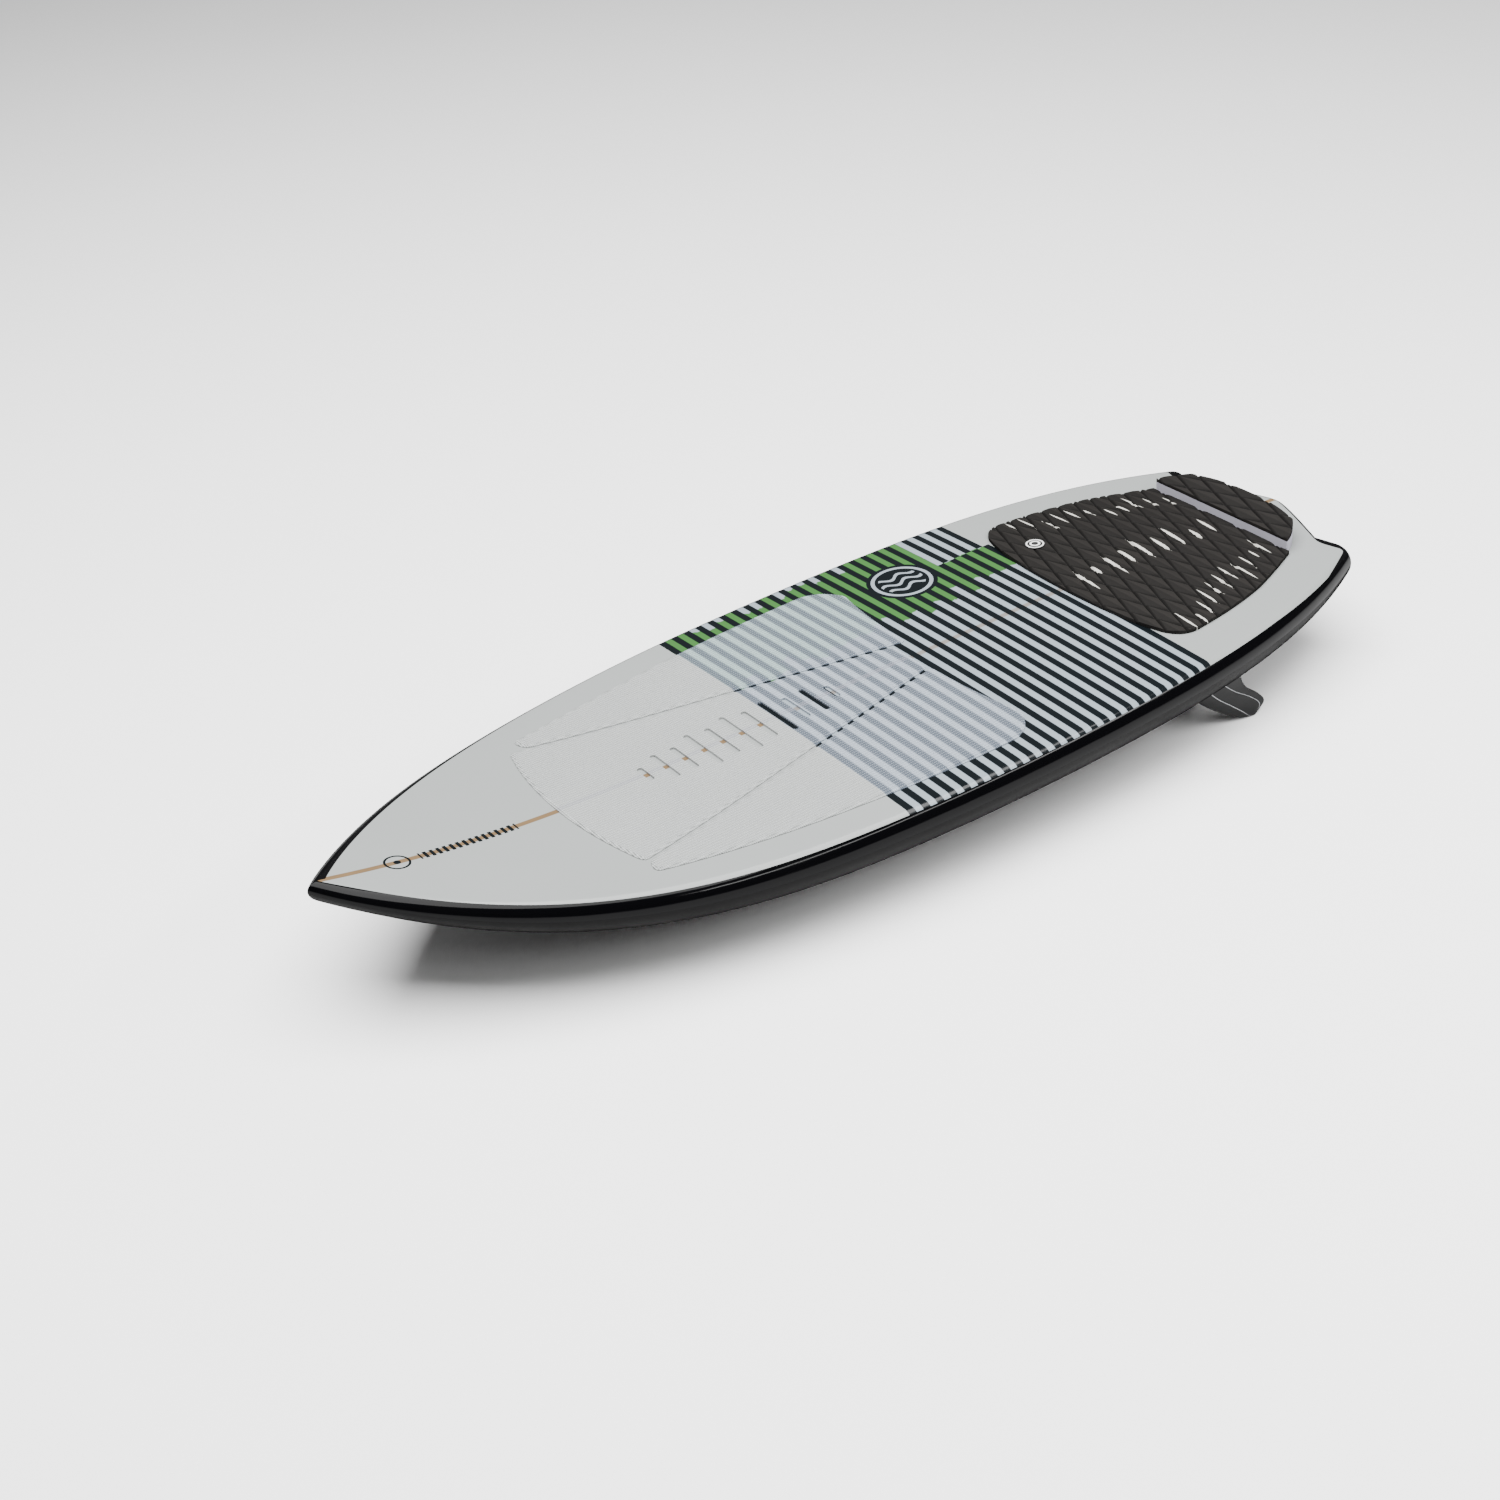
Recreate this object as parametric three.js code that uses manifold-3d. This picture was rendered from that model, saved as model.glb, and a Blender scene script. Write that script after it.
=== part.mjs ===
// Surf-style wake board with a wood stringer, traction pads and three removable fins.
// Millimetres. +X points to the nose, +Y to the board's left side, +Z up, and z = 0 is under the fin tips.
import * as THREE from 'three';
import { mergeVertices } from 'three/addons/utils/BufferGeometryUtils.js';
import Module from 'manifold-3d';

const wasm = await Module();
wasm.setup();

// ---- Driving dimensions ----

// Outline
const LENGTH = 1470;
const WIDTH = 553;
const NOSE_CURVE_LENGTH = 1088; // the outline narrows to the nose over this length
const NOSE_CURVE_POWER = 4.18;
const NOSE_POINT_POWER = 0.93;
const TAIL_CURVE_LENGTH = 842; // and to the tail over this one
const TAIL_CURVE_POWER = 3.94;
const TAIL_PINCH = 130.7; // how far the half width would close at the tail's centre
const TAIL_WING_X = 39.6; // tail corners, ahead of the tail's centre
const TAIL_WING_SLOPE = 0.32;
const TAIL_EDGE_SLOPE = 0.47;
const TAIL_APEX_RADIUS = 8;
const TAIL_NOTCH_BLEND = 2;
const WING_CORNER = 9;

// Side view and section
const THICKNESS = 57;
const NOSE_THINNING = 31;
const NOSE_THIN_LENGTH = 670;
const NOSE_THIN_POWER = 2.02;
const TAIL_THINNING = 17.7;
const TAIL_THIN_LENGTH = 650;
const TAIL_THIN_POWER = 2.5;
const NOSE_ROCKER = 79.7;
const NOSE_ROCKER_LENGTH = 570;
const NOSE_ROCKER_POWER = 2.47;
const TAIL_ROCKER = 20.9;
const TAIL_ROCKER_LENGTH = 900;
const TAIL_ROCKER_POWER = 1.6;
const DECK_CROWN = 6;
const RAIL_WIDTH = 18; // horizontal reach of the rounded deck edge
const TUCK_WIDTH = 16; // and of the rounded bottom edge
const RAIL_APEX = 0.5; // share of the side's height that lies above the widest line
const BAND_INSET = 9; // deck edge of the black rail band
const TAIL_BAND_INSET = 5;
const NOSE_BAND_INSET = 14;
const NOSE_BAND_LENGTH = 400;

// Laminate, stringer and clearances
const SKIN = 1.5;
const STRINGER_WIDTH = 4;
const GAP = 0.3; // between pieces that rest on each other
const SLIDE_GAP = 0.35; // round a part that slides or turns

// Deck pads
const FRONT_PAD_THICKNESS = 2.5;
const FRONT_PAD_SPLIT = 6;
const SLOT_WIDTH = 8;
const SLOT_PITCH = 27.2;
const SLOT_FIRST_X = 1037.5; // from the tail
const SLOT_LENGTHS = [32, 60, 56, 80, 70, 88, 72, 80, 56, 60, 30];
const TAIL_PAD_THICKNESS = 5;
const KICK_FRONT_X = 115;
const KICK_FRONT_HEIGHT = 20;
const KICK_REAR_HEIGHT = 27;
const KICK_COVER = 5;
const BADGE_RADIUS = 14;
const BADGE_THICKNESS = 0.8;
const BADGE_PLACE = { x: 344, y: -111 };

// Pad outlines: left half, distances from the tail's centre and from the centreline
const CENTRE_PANEL = { rear: 644, front: 1158, bow: 23, splitRear: 36, splitFront: 150 };
const WING_PANEL = { tip: [1137, 172], widest: [672, 227], heel: [624, 186] };
const WING_BOWS = { side: [910, 224], corner: [638, 224], rear: [640, 118] };
const RIGHT_WING_SHIFT = { x: -17, y: 4 }; // the right wing is laid a little further back
const TAIL_PAD = { nose: [396, 0], front: [376, 166], widest: [338, 190], flank: [205, 165], rearY: 127 };
const TAIL_PAD_BOWS = { front: [396, 110], corner: [364, 192], side: [262, 183], rear: [160, 148] };
const KICK = { frontY: 122, bow: [96, 116], shoulder: [76, 94], rearBow: [62, 55], rear: [62, 0] };

// Fins: two tabs each, in a two-cavity box, held by one angled grub screw per tab
const FIN_BASE = 100;
const FIN_DEPTH = 86;
const FIN_THICKNESS = 6.5;
const FIN_TRAVEL_CLEARANCE = 0.7; // blade root to board
const TAB_LENGTH = 26;
const TAB_THICKNESS = 6;
const TAB_DEPTH = 14;
const TAB_PITCH = 58;
const TAB_END_GAP = 1; // above a seated tab
const BOX_LENGTH = 116;
const BOX_WIDTH = 32;
const BOX_DEPTH = 20;
const PLUG_WALL = 12; // dense foam round the box
const PLUG_DEPTH = 32;
const SCREW_RADIUS = 2.25;
const SCREW_LENGTH = 7;
const SCREW_TILT = THREE.MathUtils.degToRad(35);
const SCREW_REACH = 7.2; // height of the screw's point inside the box
const HEX_RADIUS = 1.4;
const HEX_DEPTH = 2.5;
const SIDE_FIN = { x: 343, inset: 46, toe: 3, cant: 5 };
const SIDE_FOIL_OUTER_SHARE = 0.8; // of the foil's thickness, on the side away from the centreline
const CENTRE_FIN_X = 140;

// Mesh density
const NOSE_STATIONS = 10;
const MIDDLE_STATIONS = 14;
const TAIL_STATIONS = 4;
const CORNER_STATIONS = 3;
const EDGE_STATIONS = 9;
const PLAN_ARC_STEPS = 3; // along a slot's or a box's half-round end
const SPLIT_GAP_ANGLE = THREE.MathUtils.degToRad(0.45);

// ---- Finishes ----

const finish = (color, roughness, metalness = 0, opacity = 1) =>
  new THREE.MeshStandardMaterial({ color, roughness, metalness, opacity, transparent: opacity < 1 });

const FINISH = {
  deck: finish(0xd4d8d6, 0.15),
  rail: finish(0x060608, 0.08),
  bottom: finish(0x2a2a2c, 0.45),
  foam: finish(0xeceee8, 0.9),
  plug: finish(0xe3cf8a, 0.85),
  wood: finish(0xb99f7c, 0.6),
  frontPad: finish(0xdfe3e4, 0.5),
  tailPad: finish(0x26221f, 0.85),
  kickFoam: finish(0xb7b5bd, 0.8),
  badge: finish(0xe0e0e0, 0.5),
  fin: finish(0x232325, 0.35),
  box: finish(0x1b1b1c, 0.5),
  steel: finish(0xa9abad, 0.3, 1),
};

// ---- Curves of the hull; x runs from the tail here ----

const ramp = (value) => THREE.MathUtils.clamp(value, 0, 1);
const noseShare = (x, length) => ramp((x - (LENGTH - length)) / length);
const tailShare = (x, length) => ramp((length - x) / length);

function halfWidth(x) {
  const nose = (1 - noseShare(x, NOSE_CURVE_LENGTH) ** NOSE_CURVE_POWER) ** NOSE_POINT_POWER;
  return (WIDTH / 2) * nose - TAIL_PINCH * tailShare(x, TAIL_CURVE_LENGTH) ** TAIL_CURVE_POWER;
}

function thickness(x) {
  const nose = NOSE_THINNING * noseShare(x, NOSE_THIN_LENGTH) ** NOSE_THIN_POWER;
  return THICKNESS - nose - TAIL_THINNING * tailShare(x, TAIL_THIN_LENGTH) ** TAIL_THIN_POWER;
}

function bottomLine(x) {
  const nose = NOSE_ROCKER * noseShare(x, NOSE_ROCKER_LENGTH) ** NOSE_ROCKER_POWER;
  return nose + TAIL_ROCKER * tailShare(x, TAIL_ROCKER_LENGTH) ** TAIL_ROCKER_POWER;
}

const deckLine = (x) => bottomLine(x) + thickness(x);
const wingY = halfWidth(TAIL_WING_X);

// The tail's end: a blunt point at the centre, rising to a notch inside each corner.
function tailEdge(y) {
  const point = Math.hypot(TAIL_EDGE_SLOPE * y, TAIL_APEX_RADIUS) - TAIL_APEX_RADIUS;
  const wing = TAIL_WING_X + TAIL_WING_SLOPE * (wingY - y);
  const k = TAIL_NOTCH_BLEND;
  return -k * Math.log(Math.exp(-point / k) + Math.exp(-wing / k));
}

// ---- Stations: points round the left half outline, each with the centreline point that it runs to ----

const NOSE_REACH = 370; // stations crowd together over this length at the nose
const NOSE_CROWDING = 1.6;
const NOSE_SPINE_SETBACK = 70;
const TAIL_REACH = 250;
const TAIL_SPINE_LEAD = 80;
const TAIL_SPINE_END = 30;
const CORNER_SPINE_RATE = 0.25; // how far the spine point runs on as a tail corner closes

function spineX(x) {
  const nose = NOSE_SPINE_SETBACK * noseShare(x, NOSE_REACH) ** 2;
  return x - nose + TAIL_SPINE_LEAD * tailShare(x, TAIL_REACH) ** 2;
}

function leftStations() {
  const side = (x) => ({ x, y: halfWidth(x), spine: spineX(x) });
  const cornerStart = TAIL_WING_X + WING_CORNER;
  const tailStart = cornerStart + TAIL_REACH / 2;
  const points = [];
  for (let i = 0; i < NOSE_STATIONS; i++) {
    points.push(side(LENGTH - NOSE_REACH * (i / NOSE_STATIONS) ** NOSE_CROWDING));
  }
  for (let i = 0; i < MIDDLE_STATIONS; i++) {
    const share = i / MIDDLE_STATIONS;
    points.push(side(THREE.MathUtils.lerp(LENGTH - NOSE_REACH, tailStart, share)));
  }
  for (let i = 0; i < TAIL_STATIONS; i++) {
    points.push(side(THREE.MathUtils.lerp(tailStart, cornerStart, i / TAIL_STATIONS)));
  }
  const edgeY = wingY - WING_CORNER;
  const corner = new THREE.QuadraticBezierCurve(
    new THREE.Vector2(cornerStart, halfWidth(cornerStart)),
    new THREE.Vector2(TAIL_WING_X, wingY),
    new THREE.Vector2(tailEdge(edgeY), edgeY),
  );
  const lastSpine = spineX(cornerStart);
  for (const point of corner.getPoints(CORNER_STATIONS).slice(0, -1)) {
    const spine = lastSpine - (halfWidth(cornerStart) - point.y) * CORNER_SPINE_RATE;
    points.push({ x: point.x, y: point.y, spine });
  }
  const edgeSpine = lastSpine - (halfWidth(cornerStart) - edgeY) * CORNER_SPINE_RATE;
  for (let i = 0; i <= EDGE_STATIONS; i++) {
    const share = i / EDGE_STATIONS;
    const y = edgeY * (1 - share);
    points.push({ x: tailEdge(y), y, spine: THREE.MathUtils.lerp(edgeSpine, TAIL_SPINE_END, share) });
  }
  return points;
}

const left = leftStations();
const right = left.slice(1, -1).reverse().map((point) => ({ ...point, y: -point.y }));
const stations = [...left, ...right];

// ---- Rows: places across the section, from the deck's centreline over the rail to the bottom's ----

const QUARTER = Math.PI / 2;

function bandAngle(station) {
  const nose = (NOSE_BAND_INSET - BAND_INSET) * noseShare(station.x, NOSE_BAND_LENGTH) ** 2;
  const inset = BAND_INSET + nose - (BAND_INSET - TAIL_BAND_INSET) * tailShare(station.x, TAIL_REACH);
  return Math.acos(1 - inset / RAIL_WIDTH);
}

const flat = (top, share) => ({ top, share, angle: () => QUARTER });
const rail = (top, angle) => ({ top, share: 0, angle });

const ROWS = [
  flat(true, 1),
  flat(true, 2 / 3),
  flat(true, 1 / 3),
  flat(true, 0),
  rail(true, (station) => (QUARTER + bandAngle(station)) / 2),
  rail(true, (station) => bandAngle(station) + SPLIT_GAP_ANGLE),
  rail(true, (station) => bandAngle(station) - SPLIT_GAP_ANGLE),
  rail(true, (station) => bandAngle(station) / 2),
  rail(true, () => SPLIT_GAP_ANGLE),
  rail(false, () => SPLIT_GAP_ANGLE),
  rail(false, () => QUARTER / 3),
  rail(false, () => (2 * QUARTER) / 3),
  flat(false, 0),
  flat(false, 1 / 2),
  flat(false, 1),
];
const DECK_ROWS = [0, 5];
const PAD_ROWS = [0, 3];
const BAND_ROWS = [6, 8];
const BOTTOM_ROWS = [9, 14];
const SPLIT_ROWS = [[5, 6], [8, 9]]; // the two sides of a gap in the laminate

function hullPoint(station, row) {
  const reach = Math.hypot(station.x - station.spine, station.y);
  const width = row.top ? RAIL_WIDTH : TUCK_WIDTH;
  const angle = row.angle(station);
  const inset = width * (1 - Math.cos(angle)) + row.share * (reach - width);
  const share = inset / reach;
  const x = THREE.MathUtils.lerp(station.x, station.spine, share);
  const y = station.y * (1 - share);
  const crown = (edgeY) => DECK_CROWN * (edgeY / (WIDTH / 2)) ** 2;
  const side = thickness(station.x) - crown(station.y);
  const drop = 1 - Math.sin(angle);
  const z = row.top
    ? deckLine(x) - crown(y) - RAIL_APEX * side * drop
    : bottomLine(x) + (1 - RAIL_APEX) * side * drop;
  return new THREE.Vector3(x - LENGTH / 2, y, z);
}

// The two halves share their centreline vertices, so a mirrored station looks its own up on the left.
function gridIndex(station, row) {
  const onSpine = row === 0 || row === ROWS.length - 1;
  const column = onSpine && station > left.length - 1 ? stations.length - station : station;
  return (column % stations.length) * ROWS.length + row;
}

const hullPoints = stations.flatMap((station) => ROWS.map((row) => hullPoint(station, row)));

function stripIndices(firstRow, lastRow) {
  const indices = [];
  for (let s = 0; s < stations.length; s++) {
    const next = (s + 1) % stations.length;
    for (let r = firstRow; r < lastRow; r++) {
      const quad = [gridIndex(s, r), gridIndex(s, r + 1), gridIndex(next, r + 1), gridIndex(next, r)];
      indices.push(quad[0], quad[1], quad[2], quad[0], quad[2], quad[3]);
    }
  }
  return indices;
}

function hullNormals() {
  const geometry = new THREE.BufferGeometry().setFromPoints(hullPoints);
  geometry.setIndex(stripIndices(0, ROWS.length - 1));
  geometry.computeVertexNormals();
  const attribute = geometry.getAttribute('normal');
  const found = hullPoints.map((_, i) => new THREE.Vector3().fromBufferAttribute(attribute, i));
  for (let s = 0; s < stations.length; s++) {
    for (const [a, b] of SPLIT_ROWS) {
      const shared = found[gridIndex(s, a)].clone().add(found[gridIndex(s, b)]).normalize();
      found[gridIndex(s, a)] = shared;
      found[gridIndex(s, b)] = shared;
    }
  }
  return found;
}

const normals = hullNormals();
const turned = normals[gridIndex(0, 0)].z < 0 ? -1 : 1;

// The hull's surface moved inwards by a depth, or outwards where the depth is negative.
const movedHull = (depth) =>
  hullPoints.map((point, i) => point.clone().addScaledVector(normals[i], -depth * turned));

// ---- Solids ----

function solid(geometry) {
  const loose = geometry.index ? geometry.toNonIndexed() : geometry.clone();
  loose.deleteAttribute('normal');
  loose.deleteAttribute('uv');
  const welded = mergeVertices(loose);
  const vertProperties = new Float32Array(welded.getAttribute('position').array);
  const triVerts = new Uint32Array(welded.index.array);
  const made = new wasm.Manifold(new wasm.Mesh({ numProp: 3, vertProperties, triVerts }));
  if (made.volume() > 0) return made;
  return new wasm.Manifold(new wasm.Mesh({ numProp: 3, vertProperties, triVerts: triVerts.reverse() }));
}

function body(points, indices) {
  const geometry = new THREE.BufferGeometry().setFromPoints(points);
  geometry.setIndex(indices);
  return solid(geometry);
}

// A wall that follows the hull between two rows and two depths.
function shell([firstRow, lastRow], outerDepth, innerDepth) {
  const points = [...movedHull(outerDepth), ...movedHull(innerDepth)];
  const outer = stripIndices(firstRow, lastRow);
  const inner = stripIndices(firstRow, lastRow).map((i) => i + hullPoints.length).reverse();
  const rims = [];
  const rim = (row, flip) => {
    for (let s = 0; s < stations.length; s++) {
      const a = gridIndex(s, row);
      const b = gridIndex((s + 1) % stations.length, row);
      const faces = [a, a + hullPoints.length, b + hullPoints.length, a, b + hullPoints.length, b];
      rims.push(...(flip ? faces.reverse() : faces));
    }
  };
  if (firstRow > 0) rim(firstRow, true);
  if (lastRow < ROWS.length - 1) rim(lastRow, false);
  return body(points, [...outer, ...inner, ...rims]);
}

const hull = (depth) => body(movedHull(depth), stripIndices(0, ROWS.length - 1));

// A plan outline, given from the tail, carried up and down.
function prism(outline, low, high) {
  const shape = new THREE.Shape(outline.map(({ x, y }) => new THREE.Vector2(x, y)));
  const geometry = new THREE.ExtrudeGeometry(shape, { depth: high - low, bevelEnabled: false });
  return solid(geometry.translate(0, 0, low));
}

const TALL = 400;
const onBoard = (outline) => outline.map(({ x, y }) => ({ x: x - LENGTH / 2, y }));
const column = (outline) => prism(onBoard(outline), -TALL, TALL);
const mirrored = (outline) => outline.map(({ x, y }) => ({ x, y: -y })).reverse();

const box = (sizeX, sizeY, sizeZ, x, y, z) =>
  solid(new THREE.BoxGeometry(sizeX, sizeY, sizeZ).translate(x, y, z));

function roundedBar(length, width) {
  const shape = new THREE.Shape();
  const half = (length - width) / 2;
  shape.absarc(half, 0, width / 2, -QUARTER, QUARTER);
  shape.absarc(-half, 0, width / 2, QUARTER, 3 * QUARTER);
  return shape.getPoints(PLAN_ARC_STEPS);
}

const placed = (made, matrix) => made.transform(matrix.elements);

// ---- The assembly ----

const board = new THREE.Group();

function add(name, made, material) {
  const mesh = made.getMesh();
  const geometry = new THREE.BufferGeometry();
  geometry.setAttribute('position', new THREE.BufferAttribute(mesh.vertProperties, 3));
  geometry.setIndex(new THREE.BufferAttribute(mesh.triVerts, 1));
  geometry.computeVertexNormals();
  const part = new THREE.Mesh(geometry, material);
  part.name = name;
  board.add(part);
  return part;
}

// ---- Fins ----

// A frame on the bottom: x forward along the fin, z up into the board.
function bottomFrame(x, y, toe) {
  const step = 1;
  const pitch = Math.atan2(bottomLine(x + step) - bottomLine(x - step), 2 * step);
  return new THREE.Matrix4()
    .makeTranslation(x - LENGTH / 2, y, bottomLine(x))
    .multiply(new THREE.Matrix4().makeRotationY(-pitch))
    .multiply(new THREE.Matrix4().makeRotationZ(toe));
}

// Leading and trailing edge as shares of the fin's base length and depth.
const LEADING_EDGE = [[0.5, 0], [0.3, 0.25], [0.08, 0.5], [-0.24, 0.78], [-0.55, 0.96], [-0.72, 1]];
const TRAILING_EDGE = [[-0.5, 0], [-0.52, 0.25], [-0.58, 0.45], [-0.78, 0.66], [-0.88, 0.84], [-0.72, 1]];
const FIN_SPANS = 9;
const FOIL_FULLNESS = 2.6; // brings the foil's thickest point to the fin's thickness
const FOIL = [0, 0.12, 0.3, 0.5, 0.72, 1];

function edgePoints(edge) {
  const points = edge.map(([x, z]) => new THREE.Vector2(x * FIN_BASE, -z * FIN_DEPTH));
  return new THREE.SplineCurve(points).getPoints(FIN_SPANS);
}

// outer is the share of the thickness on the +y side: 0.5 is an even foil.
function finBlade(outer) {
  const leading = edgePoints(LEADING_EDGE);
  const trailing = edgePoints(TRAILING_EDGE);
  const points = [];
  const rounds = 2 * (FOIL.length - 1);
  for (let s = 0; s < FIN_SPANS; s++) {
    const chord = leading[s].distanceTo(trailing[s]) / FIN_BASE;
    for (let k = 0; k < rounds; k++) {
      const onOuter = k < FOIL.length;
      const v = onOuter ? FOIL[k] : FOIL[rounds - k];
      const fullness = FOIL_FULLNESS * Math.sqrt(v) * (1 - v) * Math.sqrt(chord);
      const y = fullness * FIN_THICKNESS * (onOuter ? outer : outer - 1);
      const x = THREE.MathUtils.lerp(leading[s].x, trailing[s].x, v);
      const z = THREE.MathUtils.lerp(leading[s].y, trailing[s].y, v);
      points.push(new THREE.Vector3(x, y, z));
    }
  }
  const tip = points.length;
  points.push(new THREE.Vector3(leading[FIN_SPANS].x, 0, leading[FIN_SPANS].y));
  const indices = [];
  for (let k = 0; k < rounds; k++) {
    const next = (k + 1) % rounds;
    for (let s = 0; s < FIN_SPANS - 1; s++) {
      const a = s * rounds;
      const b = a + rounds;
      indices.push(a + k, b + k, b + next, a + k, b + next, a + next);
    }
    const last = (FIN_SPANS - 1) * rounds;
    indices.push(last + k, tip, last + next);
    if (k > 0 && k < rounds - 1) indices.push(0, k, k + 1);
  }
  return body(points, indices).translate([0, 0, -FIN_TRAVEL_CLEARANCE]);
}

const tabPlaces = [TAB_PITCH / 2, -TAB_PITCH / 2];

function finWithTabs(outer) {
  const rootOverlap = 1.5;
  const height = TAB_DEPTH + FIN_TRAVEL_CLEARANCE + rootOverlap;
  const centre = TAB_DEPTH - height / 2;
  return tabPlaces.reduce(
    (made, x) => made.add(box(TAB_LENGTH, TAB_THICKNESS, height, x, 0, centre)),
    finBlade(outer),
  );
}

const SCREW_END_GAP = 0.35; // point of the screw to the tab
const screwEndY = TAB_THICKNESS / 2 + SCREW_END_GAP + SCREW_RADIUS * Math.cos(SCREW_TILT);
const SCREW_SIDES = 12;

// The screw's frame, with z from its socket to its point, on the fin's +y side (side 1) or -y side (side -1).
const screwPlace = (x, side) =>
  new THREE.Matrix4()
    .makeTranslation(x, side * screwEndY, SCREW_REACH)
    .multiply(new THREE.Matrix4().makeRotationX(side * SCREW_TILT))
    .multiply(new THREE.Matrix4().makeTranslation(0, 0, -SCREW_LENGTH));

function rod(radius, sides, low, high) {
  const geometry = new THREE.CylinderGeometry(radius, radius, high - low, sides);
  return solid(geometry.rotateX(QUARTER).translate(0, 0, (low + high) / 2));
}

const grubScrew = () =>
  rod(SCREW_RADIUS, SCREW_SIDES, 0, SCREW_LENGTH).subtract(rod(HEX_RADIUS, 6, -1, HEX_DEPTH));

function screwHole() {
  const radius = (SCREW_RADIUS + SLIDE_GAP) / Math.cos(Math.PI / SCREW_SIDES);
  return rod(radius, SCREW_SIDES, -SCREW_LENGTH, SCREW_LENGTH + GAP);
}

// Returns the solids of one fin and its box, and the pocket that they need in the board.
function finSet(frame, cant, side, outer) {
  const finFrame = frame.clone().multiply(new THREE.Matrix4().makeRotationX(cant));
  const boxOutline = roundedBar(BOX_LENGTH, BOX_WIDTH);
  const wider = (extra) => roundedBar(BOX_LENGTH + 2 * extra, BOX_WIDTH + 2 * extra);
  let made = placed(prism(boxOutline, 0, BOX_DEPTH), frame);
  const cavityTop = TAB_DEPTH + TAB_END_GAP;
  const cavityHeight = cavityTop + BOX_DEPTH;
  for (const x of tabPlaces) {
    const length = TAB_LENGTH + 2 * SLIDE_GAP;
    const width = TAB_THICKNESS + 2 * SLIDE_GAP;
    const cavity = box(length, width, cavityHeight, x, 0, cavityTop - cavityHeight / 2);
    const hole = placed(screwHole(), screwPlace(x, side));
    made = made.subtract(placed(cavity.add(hole), finFrame));
  }
  const screws = tabPlaces.map((x) => placed(grubScrew(), finFrame.clone().multiply(screwPlace(x, side))));
  const boxSpace = placed(prism(wider(GAP), -TALL, BOX_DEPTH + GAP), frame);
  const plug = placed(prism(wider(PLUG_WALL), -TALL, PLUG_DEPTH), frame);
  const plugSpace = placed(prism(wider(PLUG_WALL + GAP), -TALL, PLUG_DEPTH + GAP), frame);
  return { fin: placed(finWithTabs(outer), finFrame), box: made, screws, boxSpace, plug, plugSpace };
}

const toe = THREE.MathUtils.degToRad(SIDE_FIN.toe);
const cant = THREE.MathUtils.degToRad(SIDE_FIN.cant);
const sideFinY = halfWidth(SIDE_FIN.x) - SIDE_FIN.inset;
const fins = {
  left: finSet(bottomFrame(SIDE_FIN.x, sideFinY, -toe), cant, -1, SIDE_FOIL_OUTER_SHARE),
  right: finSet(bottomFrame(SIDE_FIN.x, -sideFinY, toe), -cant, 1, 1 - SIDE_FOIL_OUTER_SHARE),
  centre: finSet(bottomFrame(CENTRE_FIN_X, 0, 0), 0, 1, 0.5),
};
const finSets = Object.entries(fins);
const cut = (made, tool) => finSets.reduce((rest, [, set]) => rest.subtract(set[tool]), made);

// ---- Hull ----

// A tight corner can fold the moved surface outwards, so it is trimmed to the skins.
const inside = hull(SKIN + GAP).intersect(hull(SKIN));
const halfSpace = (side, edge) => box(2 * LENGTH, TALL, 2 * TALL, 0, side * (TALL / 2 + edge), 0);
const stringerSpace = STRINGER_WIDTH / 2 + GAP;
const core = cut(inside, 'plugSpace');
add('foam_core_left', core.intersect(halfSpace(1, stringerSpace)), FINISH.foam);
add('foam_core_right', core.intersect(halfSpace(-1, stringerSpace)), FINISH.foam);
add('stringer', core.intersect(box(2 * LENGTH, STRINGER_WIDTH, 2 * TALL, 0, 0, 0)), FINISH.wood);
add('deck_skin', shell(DECK_ROWS, 0, SKIN), FINISH.deck);
add('bottom_skin', cut(shell(BOTTOM_ROWS, 0, SKIN), 'boxSpace'), FINISH.bottom);
const band = shell(BAND_ROWS, 0, SKIN);
add('rail_band_left', band.intersect(halfSpace(1, GAP / 2)), FINISH.rail);
add('rail_band_right', band.intersect(halfSpace(-1, GAP / 2)), FINISH.rail);
for (const [name, set] of finSets) {
  const plug = set.plug.intersect(inside).subtract(set.boxSpace);
  add(`box_plug_${name}`, plug, FINISH.plug);
  add(`fin_box_${name}`, set.box, FINISH.box);
  add(`fin_${name}`, set.fin, FINISH.fin);
  set.screws.forEach((screw, i) => add(`screw_${name}_${i === 0 ? 'front' : 'rear'}`, screw, FINISH.steel));
}

// ---- Deck pads ----

const bend = (from, control, to, steps) =>
  new THREE.QuadraticBezierCurve(
    new THREE.Vector2(...from),
    new THREE.Vector2(...control),
    new THREE.Vector2(...to),
  ).getPoints(steps);

// A sheet that lies on the deck between two heights above it, cut to a plan outline.
const deckSheet = (outline, low, high) => shell(PAD_ROWS, -high, -low).intersect(column(outline));

function splitY(x) {
  const { rear, front, bow, splitRear, splitFront } = CENTRE_PANEL;
  return THREE.MathUtils.mapLinear(x, rear, front - bow, splitRear, splitFront);
}

const CENTRE_FRONT_STEPS = 8;

function centrePanel() {
  const { rear, front, bow, splitFront } = CENTRE_PANEL;
  const half = FRONT_PAD_SPLIT / 2;
  const outline = [{ x: rear, y: splitY(rear) - half }, { x: rear, y: half - splitY(rear) }];
  for (let i = 0; i <= CENTRE_FRONT_STEPS; i++) {
    const y = (splitFront - half) * ((2 * i) / CENTRE_FRONT_STEPS - 1);
    outline.push({ x: front - bow * (y / splitFront) ** 2, y });
  }
  return SLOT_LENGTHS.reduce((panel, length, i) => {
    const x = SLOT_FIRST_X - i * SLOT_PITCH;
    const slot = roundedBar(length, SLOT_WIDTH).map((point) => ({ x: x - point.y, y: point.x }));
    return panel.subtract(column(slot));
  }, deckSheet(outline, GAP, GAP + FRONT_PAD_THICKNESS));
}

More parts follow.
